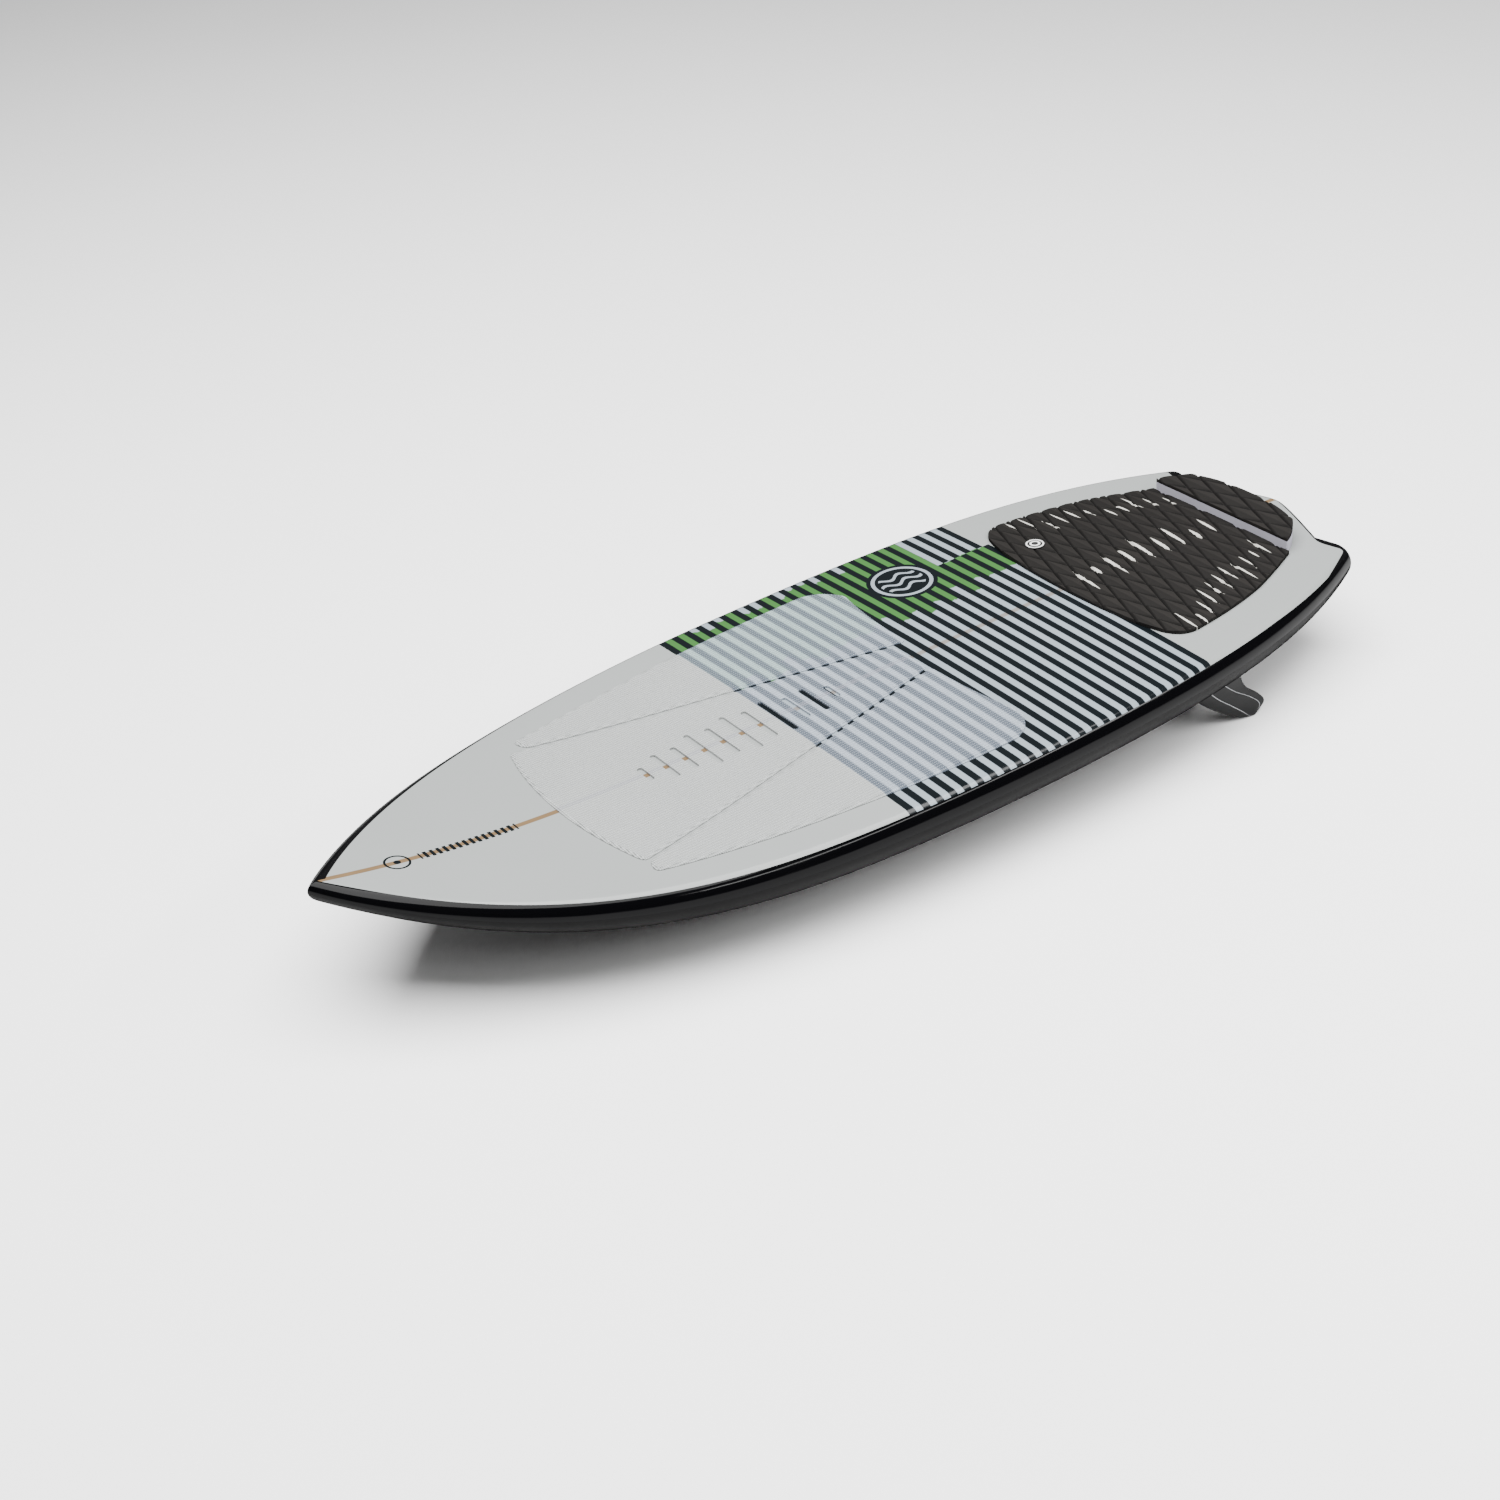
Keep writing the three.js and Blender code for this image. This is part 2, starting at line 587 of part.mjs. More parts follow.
function wingOutline() {
  const half = FRONT_PAD_SPLIT / 2;
  const { tip, widest, heel } = WING_PANEL;
  const toe = [CENTRE_PANEL.rear - half, splitY(CENTRE_PANEL.rear) + half];
  const innerTip = CENTRE_PANEL.front - CENTRE_PANEL.bow;
  return [
    new THREE.Vector2(innerTip, splitY(innerTip) + half),
    ...bend(tip, WING_BOWS.side, widest, 6),
    ...bend(widest, WING_BOWS.corner, heel, 4).slice(1),
    ...bend(heel, WING_BOWS.rear, toe, 4).slice(1),
  ];
}

function tailPadOutline() {
  const { nose, front, widest, flank, rearY } = TAIL_PAD;
  const half = [
    ...bend(nose, TAIL_PAD_BOWS.front, front, 3),
    ...bend(front, TAIL_PAD_BOWS.corner, widest, 3).slice(1),
    ...bend(widest, TAIL_PAD_BOWS.side, flank, 3).slice(1),
    ...bend(flank, TAIL_PAD_BOWS.rear, [KICK_FRONT_X + GAP, rearY], 2).slice(1),
  ];
  return [...half, ...mirrored(half.slice(1))];
}

function kickOutline() {
  const { frontY, bow, shoulder, rearBow, rear } = KICK;
  const half = [
    new THREE.Vector2(KICK_FRONT_X, frontY),
    ...bend([KICK_FRONT_X, frontY], bow, shoulder, 4).slice(1),
    ...bend(shoulder, rearBow, rear, 4).slice(1),
  ];
  return [...half, ...mirrored(half.slice(0, -1))];
}

// Everything under the kick's sloping top, lowered by a depth.
function underKick(depth) {
  const run = KICK_FRONT_X - KICK.rear[0];
  const frontZ = deckLine(KICK_FRONT_X) + GAP + KICK_FRONT_HEIGHT - depth;
  const rearZ = deckLine(KICK.rear[0]) + GAP + KICK_REAR_HEIGHT - depth;
  const slope = new THREE.Matrix4()
    .makeTranslation(KICK_FRONT_X - LENGTH / 2, 0, frontZ)
    .multiply(new THREE.Matrix4().makeRotationY(Math.atan2(rearZ - frontZ, run)));
  return placed(box(TALL, WIDTH, TALL, 0, 0, -TALL / 2), slope);
}

const wing = wingOutline();
add('front_pad_left', deckSheet(wing, GAP, GAP + FRONT_PAD_THICKNESS), FINISH.frontPad);
const shifted = (outline, by) => outline.map(({ x, y }) => ({ x: x + by.x, y: y + by.y }));
const rightWing = shifted(mirrored(wing), RIGHT_WING_SHIFT);
add('front_pad_right', deckSheet(rightWing, GAP, GAP + FRONT_PAD_THICKNESS), FINISH.frontPad);
add('front_pad_centre', centrePanel(), FINISH.frontPad);
const tailPadTop = GAP + TAIL_PAD_THICKNESS;
add('tail_pad', deckSheet(tailPadOutline(), GAP, tailPadTop), FINISH.tailPad);
const kickBlock = deckSheet(kickOutline(), GAP, 2 * KICK_REAR_HEIGHT);
add('kick_wedge', kickBlock.intersect(underKick(KICK_COVER + GAP)), FINISH.kickFoam);
add('kick_cover', kickBlock.intersect(underKick(0)).subtract(underKick(KICK_COVER)), FINISH.tailPad);
const badge = new THREE.Shape().absarc(BADGE_PLACE.x, BADGE_PLACE.y, BADGE_RADIUS, 0, 2 * Math.PI);
const badgeLow = tailPadTop + GAP;
add('pad_badge', deckSheet(badge.getPoints(8), badgeLow, badgeLow + BADGE_THICKNESS), FINISH.badge);

// The lowest fin tip stands on z = 0.
board.position.z = -new THREE.Box3().setFromObject(board).min.z;

export default board;
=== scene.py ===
import math

import bmesh
import bpy
import numpy as np
from bpy.props import FloatProperty, FloatVectorProperty, IntProperty, PointerProperty
from mathutils import Matrix, Vector


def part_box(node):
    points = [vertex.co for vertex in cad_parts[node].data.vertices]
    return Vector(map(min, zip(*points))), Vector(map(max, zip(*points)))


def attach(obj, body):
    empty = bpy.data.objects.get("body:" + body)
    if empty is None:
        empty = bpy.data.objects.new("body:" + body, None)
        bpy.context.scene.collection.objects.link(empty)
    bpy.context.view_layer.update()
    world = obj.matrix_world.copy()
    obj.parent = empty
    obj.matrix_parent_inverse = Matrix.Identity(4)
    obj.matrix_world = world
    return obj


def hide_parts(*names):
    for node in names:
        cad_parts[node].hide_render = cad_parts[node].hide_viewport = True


bl_info = {
    "name": "Wakesurf Board",
    "version": (1, 0, 0),
    "blender": (4, 5, 0),
    "location": "3D View > Sidebar > Board",
    "description": "Builds the laminate, pads, fins and finishes of a wakesurf board round its frame",
    "category": "Object",
}

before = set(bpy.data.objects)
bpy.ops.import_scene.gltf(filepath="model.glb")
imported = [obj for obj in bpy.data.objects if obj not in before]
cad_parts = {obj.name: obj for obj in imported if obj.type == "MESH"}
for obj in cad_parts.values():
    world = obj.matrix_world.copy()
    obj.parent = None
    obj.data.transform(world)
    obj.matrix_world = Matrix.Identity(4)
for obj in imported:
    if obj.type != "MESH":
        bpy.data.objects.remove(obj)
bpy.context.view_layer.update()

# ---- The hull's curves. Metres, x from the tail's centre, y from the centreline, to the left ----

LENGTH = 1.470
HALF_WIDTH = 0.2765
THICKNESS = 0.057
DECK_CROWN = 0.006
RAIL_WIDTH = 0.018
TUCK_WIDTH = 0.016
BAND_INSET = 0.009
NOSE_BAND_INSET = 0.014
TAIL_BAND_INSET = 0.005
NOSE_BAND_LENGTH = 0.400
SKIN = 0.0015
NOSE_REACH = 0.370
TAIL_REACH = 0.250
TAIL_SPINE_END = 0.030
NOSE_CURVE_LENGTH = 1.088
NOSE_CURVE_POWER = 4.18
NOSE_CURVE_FULLNESS = 0.93
TAIL_CURVE_LENGTH = 0.842
TAIL_CURVE_POWER = 3.94
TAIL_PINCH = 0.1307
NOSE_THINNING = 0.031
NOSE_THIN_LENGTH = 0.670
NOSE_THIN_POWER = 2.02
TAIL_THINNING = 0.0177
TAIL_THIN_LENGTH = 0.650
TAIL_THIN_POWER = 2.5
NOSE_ROCKER = 0.0797
NOSE_ROCKER_LENGTH = 0.570
NOSE_ROCKER_POWER = 2.47
TAIL_ROCKER = 0.0209
TAIL_ROCKER_LENGTH = 0.900
TAIL_ROCKER_POWER = 1.6
TAIL_POINT_SLOPE = 0.47
TAIL_POINT_ROUND = 0.008
TAIL_WING_X = 0.0396
TAIL_WING_SLOPE = 0.32
TAIL_BLEND = 0.002
NOSE_SPINE_SHIFT = 0.070
TAIL_SPINE_SHIFT = 0.080
RIM_RIGHT = 0.0145
RIM_NOSE_EXTRA = 0.004
RIM_TAIL = 0.0130
RIM_TAIL_LENGTH = 0.160
CORNER = 0.009
CORNER_START = TAIL_WING_X + CORNER
CORNER_SPINE_RATE = 0.25
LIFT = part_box("bottom_skin")[0].z
MIDDLE = LENGTH / 2
QUARTER = math.pi / 2


def nose_share(x, run):
    """0 behind the last run of the length, rising to 1 at the nose."""
    return np.clip((x - (LENGTH - run)) / run, 0, 1)


def tail_share(x, run):
    """1 at the tail, falling to 0 at run ahead of it."""
    return np.clip((run - x) / run, 0, 1)


def half_width(x):
    """Half the plan width: full, narrowed by a power of the nose share and by one of the tail share."""
    nose = (1 - nose_share(x, NOSE_CURVE_LENGTH) ** NOSE_CURVE_POWER) ** NOSE_CURVE_FULLNESS
    return HALF_WIDTH * nose - TAIL_PINCH * tail_share(x, TAIL_CURVE_LENGTH) ** TAIL_CURVE_POWER


def thickness(x):
    """Height of the section on the centreline, thinned towards both ends."""
    nose = NOSE_THINNING * nose_share(x, NOSE_THIN_LENGTH) ** NOSE_THIN_POWER
    return THICKNESS - nose - TAIL_THINNING * tail_share(x, TAIL_THIN_LENGTH) ** TAIL_THIN_POWER


def bottom_line(x):
    """Rocker of the bottom: a power curve up to the nose and a gentler one to the tail."""
    nose = NOSE_ROCKER * nose_share(x, NOSE_ROCKER_LENGTH) ** NOSE_ROCKER_POWER
    return nose + TAIL_ROCKER * tail_share(x, TAIL_ROCKER_LENGTH) ** TAIL_ROCKER_POWER


def deck_line(x):
    """Bottom's rocker plus the thickness."""
    return bottom_line(x) + thickness(x)


def crown(y):
    """How far the deck falls away from the centreline: a parabola."""
    return DECK_CROWN * (y / HALF_WIDTH) ** 2


def deck_height(x, y):
    """Height of the deck above the floor, where it isn't yet rounded into the rail."""
    return deck_line(x) - crown(y) + LIFT


def tail_edge(y):
    """Plan of the tail's end: a soft minimum of a blunt point and the two corner wings."""
    point = np.hypot(TAIL_POINT_SLOPE * y, TAIL_POINT_ROUND) - TAIL_POINT_ROUND
    wing = TAIL_WING_X + TAIL_WING_SLOPE * (WING_Y - y)
    return -TAIL_BLEND * np.log(np.exp(-point / TAIL_BLEND) + np.exp(-wing / TAIL_BLEND))


def spine_x(x):
    """Centreline point that a place on the outline runs to, set back at the nose and ahead at the tail."""
    nose = NOSE_SPINE_SHIFT * nose_share(x, NOSE_REACH) ** 2
    return x - nose + TAIL_SPINE_SHIFT * tail_share(x, TAIL_REACH) ** 2


WING_Y = float(half_width(TAIL_WING_X))


def curve_through(start, control, end, steps):
    """Quadratic curve between two points, pulled by a control point, as steps points without the last."""
    t = np.linspace(0, 1, steps, endpoint=False)[:, None]
    a, b, c = (np.array(p, float) for p in (start, control, end))
    return (1 - t) ** 2 * a + 2 * t * (1 - t) * b + t * t * c


def outline_stations(nose_steps=70, side_steps=150, corner_steps=14, edge_steps=46):
    """Rows of x, y and spine round the outline: nose tip, left side, tail, and back up the right side."""
    nose = LENGTH - NOSE_REACH * np.linspace(0, 1, nose_steps, endpoint=False) ** 1.6
    side = np.linspace(LENGTH - NOSE_REACH, CORNER_START, side_steps, endpoint=False)
    along = np.concatenate([nose, side])
    flank = np.stack([along, half_width(along), spine_x(along)], 1)
    start_y = float(half_width(CORNER_START))
    edge_y = WING_Y - CORNER
    tip = (TAIL_WING_X, WING_Y)
    corner = curve_through((CORNER_START, start_y), tip, (tail_edge(edge_y), edge_y), corner_steps)
    corner_spine = spine_x(CORNER_START) - (start_y - corner[:, 1]) * CORNER_SPINE_RATE
    share = np.linspace(0, 1, edge_steps + 1)
    y = edge_y * (1 - share)
    edge_spine = spine_x(CORNER_START) - (start_y - edge_y) * CORNER_SPINE_RATE
    edge = np.stack([tail_edge(y), y, edge_spine + (TAIL_SPINE_END - edge_spine) * share], 1)
    left = np.concatenate([flank, np.column_stack([corner, corner_spine]), edge])
    right = left[-2:0:-1] * np.array([1, -1, 1])
    return np.concatenate([left, right])


def hull_rows(stations, top, share, angle):
    """Points at stations by rows. A point lies on the line from its station to the spine: the rail is
    a quarter ellipse of the given angle, from 0 at the widest line to a quarter turn, and share
    carries on to the spine."""
    x, y, spine = (column[:, None] for column in stations.T)
    reach = np.hypot(x - spine, y)
    width = RAIL_WIDTH if top else TUCK_WIDTH
    inset = width * (1 - np.cos(angle)) + share * (reach - width)
    part = inset / reach
    px = x + (spine - x) * part
    py = y * (1 - part)
    side = thickness(x) - crown(y)
    fall = 0.5 * side * (1 - np.sin(angle))
    pz = deck_line(px) - crown(py) - fall if top else bottom_line(px) + fall
    return np.stack([px - MIDDLE, py, pz + LIFT], -1)


def band_angle(stations):
    """Angle on the deck side of the rail where the black band ends."""
    x = stations[:, :1]
    nose = (NOSE_BAND_INSET - BAND_INSET) * nose_share(x, NOSE_BAND_LENGTH) ** 2
    tail = (BAND_INSET - TAIL_BAND_INSET) * tail_share(x, TAIL_REACH)
    return np.arccos(1 - (BAND_INSET + nose - tail) / RAIL_WIDTH)


def rim_reach(x, y):
    """Reach of the black paint over the deck, in from the outline: wider on the right and at the tail."""
    right = RIM_RIGHT + RIM_NOSE_EXTRA * nose_share(x, NOSE_BAND_LENGTH)
    tail = RIM_TAIL * tail_share(x, RIM_TAIL_LENGTH) ** 0.5
    return np.maximum(np.where(y < 0, right, 0.0), tail)


# ---- Meshes ----


def grid_faces(rings, rows, closed=True):
    """Quads of a grid stored ring by ring, closed round the rings or open."""
    ring = np.arange(rings if closed else rings - 1)
    row = np.arange(rows - 1)
    a = ring[:, None] * rows + row
    b = ((ring + 1) % rings)[:, None] * rows + row
    return np.stack([a, b, b + 1, a + 1], -1).reshape(-1, 4)


def new_piece(name, points, faces, closed=True):
    """A mesh object at the origin. Doubles are merged; a closed one gets its faces pointing out."""
    mesh = bpy.data.meshes.new(name)
    mesh.from_pydata(np.asarray(points).reshape(-1, 3).tolist(), [], [list(map(int, f)) for f in faces])
    edit = bmesh.new()
    edit.from_mesh(mesh)
    bmesh.ops.remove_doubles(edit, verts=edit.verts, dist=1e-6)
    bmesh.ops.dissolve_degenerate(edit, edges=edit.edges, dist=1e-7)
    if closed:
        bmesh.ops.recalc_face_normals(edit, faces=edit.faces)
    edit.to_mesh(mesh)
    edit.free()
    mesh.shade_smooth()
    piece = bpy.data.objects.new(name, mesh)
    bpy.context.scene.collection.objects.link(piece)
    return piece


def settle(piece, smooth_angle=None):
    """Applies the piece's modifiers to its mesh, and marks edges sharper than an angle as sharp."""
    graph = bpy.context.evaluated_depsgraph_get()
    made = bpy.data.meshes.new_from_object(piece.evaluated_get(graph), depsgraph=graph)
    old = piece.data
    piece.modifiers.clear()
    piece.data = made
    bpy.data.meshes.remove(old)
    made.name = piece.name
    if smooth_angle is not None:
        made.shade_smooth()
        made.set_sharp_from_angle(angle=smooth_angle)
    return piece


def boolean(piece, operation, *tools):
    """Cuts, joins or intersects the piece with closed tools, which are then removed."""
    for tool in tools:
        step = piece.modifiers.new("boolean", "BOOLEAN")
        step.operation = operation
        step.solver = "EXACT"
        step.object = tool
        settle(piece)
        mesh = tool.data
        bpy.data.objects.remove(tool)
        bpy.data.meshes.remove(mesh)
    return piece


def place(piece, matrix):
    """Moves the piece's mesh, so that its object stays at the origin."""
    piece.data.transform(matrix)
    return piece


def dress(piece, material, body, slot, *nodes):
    """Gives the piece its finish and its body, and hides the nodes that it stands for. The slot is not used.
    """
    piece.data.materials.clear()
    piece.data.materials.append(material)
    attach(piece, body)
    if nodes:
        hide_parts(*nodes)
    return piece


def lathe(name, profile, segments):
    """A closed turned solid about z: a profile of radius and height that starts and ends on the axis."""
    angle = np.linspace(0, 2 * math.pi, segments, endpoint=False)[:, None]
    radius, height = np.array(profile, float).T
    points = np.stack([radius * np.cos(angle), radius * np.sin(angle), height + 0 * angle], -1)
    return new_piece(name, points, grid_faces(segments, len(profile)))


def prism(name, outline, low, high):
    """A straight solid on a closed plan outline."""
    count = len(outline)
    base = np.column_stack([outline, np.full(count, low)])
    top = np.column_stack([outline, np.full(count, high)])
    ring = np.arange(count)
    sides = np.stack([ring, (ring + 1) % count, (ring + 1) % count + count, ring + count], -1)
    faces = [*sides, ring[::-1], ring + count]
    piece = new_piece(name, np.concatenate([base, top]), faces)
    piece.data.shade_flat()
    return piece


def rounded_bar(length, width, steps=20):
    """Outline of a bar along x with half-round ends."""
    angle = np.linspace(-QUARTER, QUARTER, steps)
    end = np.stack([np.cos(angle), np.sin(angle)], 1) * width / 2
    shift = np.array([(length - width) / 2, 0])
    return np.concatenate([end + shift, -end - shift])


def round_at(outline, picked, radius, most=1.0):
    """The closed outline with its picked corners turned into quadratic curves. A curve starts at the radius
    from its corner, or at the given part of the shorter side if that is nearer."""
    made = []
    for i, corner in enumerate(outline):
        if i not in picked:
            made.append(corner)
            continue
        back, ahead = outline[i - 1] - corner, outline[(i + 1) % len(outline)] - corner
        reach = min(radius, np.hypot(*back) * most, np.hypot(*ahead) * most)
        start = corner + back / np.hypot(*back) * reach
        end = corner + ahead / np.hypot(*ahead) * reach
        made += [*curve_through(start, corner, end, 8), end]
    return np.array(made)


def resample(outline, spacing):
    """The closed outline with its points spread evenly."""
    closed = np.concatenate([outline, outline[:1]])
    run = np.concatenate([[0], np.cumsum(np.hypot(*np.diff(closed, axis=0).T))])
    places = np.linspace(0, run[-1], int(run[-1] / spacing), endpoint=False)
    return np.stack([np.interp(places, run, closed[:, k]) for k in range(2)], 1)


def offset_inwards(outline, distance):
    """The outline moved along its own normals towards the inside."""
    ahead = np.roll(outline, -1, 0) - np.roll(outline, 1, 0)
    ahead /= np.hypot(*ahead.T)[:, None]
    area = np.sum(outline[:, 0] * np.roll(outline[:, 1], -1) - np.roll(outline[:, 0], -1) * outline[:, 1])
    return outline + math.copysign(distance, area) * np.stack([-ahead[:, 1], ahead[:, 0]], 1)


def deck_mat(name, outline, profile, gap, rings=26):
    """A thin mat on the deck. Its rim follows a profile of inset and height, then rings shrink to the middle,
    all at the profile's last height above the deck; the underside lies a small gap above the deck."""
    outline = resample(outline, 0.004)
    loops = [(offset_inwards(outline, inset), height) for inset, height in profile]
    inner, top = loops[-1]
    centre = inner.mean(0)
    shares = np.linspace(1, 0, rings)[1:]
    loops += [(centre + (inner - centre) * share, top) for share in shares]
    loops = [(centre + (outline - centre) * share, gap) for share in shares[::-1]] + loops
    plan = np.stack([loop for loop, _ in loops], 1)
    rise = np.array([height for _, height in loops])
    height = deck_height(plan[..., 0], plan[..., 1]) + rise
    points = np.dstack([plan[..., 0] - MIDDLE, plan[..., 1], height])
    return new_piece(name, points, grid_faces(len(outline), len(loops)))


# ---- Node trees ----


class Tree:
    """Short calls that add nodes to a tree and link them."""

    def __init__(self, tree):
        self.tree = tree

    def node(self, kind, **settings):
        made = self.tree.nodes.new(kind)
        for key, value in settings.items():
            setattr(made, key, value)
        return made

    def put(self, socket, value):
        if isinstance(value, bpy.types.NodeSocket):
            self.tree.links.new(value, socket)
        else:
            socket.default_value = value

    def maths(self, operation, *values, clamp=False):
        made = self.node("ShaderNodeMath", operation=operation, use_clamp=clamp)
        for socket, value in zip(made.inputs, values):
            self.put(socket, value)
        return made.outputs[0]

    def times(self, a, b):
        return self.maths("MULTIPLY", a, b)

    def plus(self, a, b):
        return self.maths("ADD", a, b)

    def minus(self, a, b):
        return self.maths("SUBTRACT", a, b)

    def over(self, a, b):
        return self.maths("DIVIDE", a, b)

    def times_plus(self, a, b, c):
        """a times b, plus c."""
        return self.maths("MULTIPLY_ADD", a, b, c)

    def off_whole(self, value):
        """How far the value is from the nearest whole number."""
        return self.maths("ABSOLUTE", self.minus(value, self.maths("ROUND", value)))

    def distance(self, x, y):
        """Length of the plan vector x, y."""
        return self.maths("SQRT", self.times_plus(x, x, self.times(y, y)))

    def split(self, vector):
        made = self.node("ShaderNodeSeparateXYZ")
        self.put(made.inputs[0], vector)
        return made.outputs

    def mix(self, factor, low, high):
        made = self.node("ShaderNodeMix", data_type="RGBA")
        self.put(made.inputs["Factor"], factor)
        self.put(made.inputs[6], low)
        self.put(made.inputs[7], high)
        return made.outputs[2]

    def noise(self, vector, scale, detail=2.0, roughness=0.5):
        made = self.node("ShaderNodeTexNoise")
        self.put(made.inputs["Vector"], vector)
        self.put(made.inputs["Scale"], scale)
        made.inputs["Detail"].default_value = detail
        made.inputs["Roughness"].default_value = roughness
        return made.outputs["Fac"]

    def random(self, value):
        made = self.node("ShaderNodeTexWhiteNoise", noise_dimensions="1D")
        self.put(made.inputs["W"], value)
        return made.outputs["Value"]

    def step(self, value, low, high, start=0.0, end=1.0):
        """Smooth change from start to end as value goes from low to high."""
        made = self.node("ShaderNodeMapRange", interpolation_type="SMOOTHSTEP")
        for socket, given in zip(made.inputs, (value, low, high, start, end)):
            self.put(socket, given)
        return made.outputs[0]

    def scaled(self, vector, x, y, z):
        made = self.node("ShaderNodeVectorMath", operation="MULTIPLY")
        self.put(made.inputs[0], vector)
        made.inputs[1].default_value = (x, y, z)
        return made.outputs[0]

    def bump(self, height, depth, normal=None):
        made = self.node("ShaderNodeBump")
        made.inputs["Distance"].default_value = depth
        self.put(made.inputs["Height"], height)
        if normal is not None:
            self.put(made.inputs["Normal"], normal)
        return made.outputs[0]

    def group(self, name, **values):
        made = self.node("ShaderNodeGroup", node_tree=GROUPS[name]())
        for key, value in values.items():
            self.put(made.inputs[key.replace("_", " ")], value)
        return made.outputs

    def object_place(self):
        return self.node("ShaderNodeTexCoord").outputs["Object"]


def group_tree(name, inputs, outputs):
    """A new shader node group with its sockets: its tree, and the sockets that come in and go out."""
    tree = bpy.data.node_groups.new(name, "ShaderNodeTree")
    for label, kind, default in inputs:
        socket = tree.interface.new_socket(label, in_out="INPUT", socket_type=f"NodeSocket{kind}")
        if default is not None:
            socket.default_value = default
    for label, kind in outputs:
        tree.interface.new_socket(label, in_out="OUTPUT", socket_type=f"NodeSocket{kind}")
    t = Tree(tree)
    return t, t.node("NodeGroupInput").outputs, t.node("NodeGroupOutput").inputs


def once(build):
    """Builds a node group the first time that it is asked for."""

    def ask():
        return bpy.data.node_groups.get(build.__name__) or build(build.__name__).tree

    return ask


STRIPE_FIRST = 0.8469 - MIDDLE
STRIPE_PITCH = 0.0192
STRIPE_COUNT = 25
STRIPE_SHARE = 0.52
STRIPE_SHIFT_Y = -0.163
STRIPE_SHIFT_X = 0.468 - MIDDLE
GREEN_START = -0.086
GREEN_END = -0.236
STRINGER_HALF = 0.0038


def board_print(name):
    """The deck's print: black stripes across the board, green between them on the right, and the stringer."""
    t, given, out = group_tree(
        name,
        [("Vector", "Vector", None), ("Softness", "Float", 0.03), ("Wobble", "Float", 0.05)],
        [("Black", "Float"), ("Between", "Float"), ("Green", "Float"), ("Stringer", "Float")],
    )
    x, y, _ = t.split(given["Vector"])
    behind = t.maths("LESS_THAN", x, STRIPE_SHIFT_X)
    beyond = t.maths("LESS_THAN", y, STRIPE_SHIFT_Y)
    shift = t.times(t.times(behind, beyond), 0.5)
    ragged = t.minus(t.noise(given["Vector"], 420.0, 3.0), 0.5)
    count = t.over(t.minus(STRIPE_FIRST, x), STRIPE_PITCH)
    count = t.plus(t.plus(count, shift), t.times(ragged, given["Wobble"]))
    away = t.off_whole(count)
    half = STRIPE_SHARE / 2
    low = t.minus(half, given["Softness"])
    high = t.plus(half, given["Softness"])
    stripe = t.step(away, low, high, 1.0, 0.0)
    after_first = t.maths("GREATER_THAN", count, -half)
    before_last = t.maths("LESS_THAN", count, STRIPE_COUNT - 1 + half)
    inside = t.times(after_first, before_last)
    t.put(out["Black"], t.times(stripe, inside))
    t.put(out["Between"], inside)
    lane = t.maths("FLOOR", count)
    patchy = t.times(t.minus(t.noise(given["Vector"], 90.0, 4.0), 0.5), 0.020)
    start = t.times_plus(t.minus(t.random(lane), 0.5), 0.034, GREEN_START)
    end = t.times_plus(t.random(t.plus(lane, 57.0)), -0.040, GREEN_END)
    end = t.maths("MAXIMUM", end, t.times_plus(behind, 0.3, STRIPE_SHIFT_Y - 0.3))
    from_start = t.minus(t.plus(start, patchy), y)
    from_end = t.minus(y, t.plus(end, patchy))
    green = t.times(t.step(from_start, -0.001, 0.001), t.step(from_end, -0.001, 0.001))
    t.put(out["Green"], t.times(green, inside))
    aside = t.maths("ABSOLUTE", y)
    t.put(out["Stringer"], t.step(aside, STRINGER_HALF - 0.0004, STRINGER_HALF + 0.0005, 1.0, 0.0))
    return t


def foam_grain(name):
    """Closed-cell foam: fine cells over a slow change of tone."""
    t, given, out = group_tree(
        name,
        [("Vector", "Vector", None), ("Cell", "Float", 1500.0), ("Patch", "Float", 25.0)],
        [("Tone", "Float"), ("Height", "Float")],
    )
    cells = t.noise(given["Vector"], given["Cell"], 3.0, 0.7)
    patches = t.noise(given["Vector"], given["Patch"], 3.0)
    t.put(out["Tone"], t.times_plus(cells, 0.4, t.times(patches, 0.6)))
    t.put(out["Height"], cells)
    return t


def worn_specks(name):
    """Small marks: ragged flecks where a fine noise passes a threshold, more of them in slow patches."""
    t, given, out = group_tree(
        name,
        [("Vector", "Vector", None), ("Scale", "Float", 300.0), ("Amount", "Float", 0.5)],
        [("Mask", "Float")],
    )
    fine = t.noise(given["Vector"], given["Scale"], 4.0, 0.6)
    slow = t.noise(given["Vector"], t.times(given["Scale"], 0.08), 2.0)
    total = t.times_plus(slow, 0.35, fine)
    limit = t.minus(1.05, t.times(given["Amount"], 0.2))
    t.put(out["Mask"], t.step(total, limit, t.plus(limit, 0.02)))
    return t


def cross_hatch(name):
    """Crossed diagonal ridges in the plan view: the product of two waves at 60 degrees to each other."""
    t, given, out = group_tree(
        name,
        [("Vector", "Vector", None), ("Pitch", "Float", 0.0024)],
        [("Height", "Float")],
    )
    x, y, _ = t.split(given["Vector"])
    waves = []
    for slant in (0.6, -0.6):
        along = t.over(t.times_plus(y, slant, x), given["Pitch"])
        waves.append(t.maths("SINE", t.times(along, 2 * math.pi)))
    product = t.times(*waves)
    t.put(out["Height"], t.times_plus(product, 0.5, 0.5))
    return t


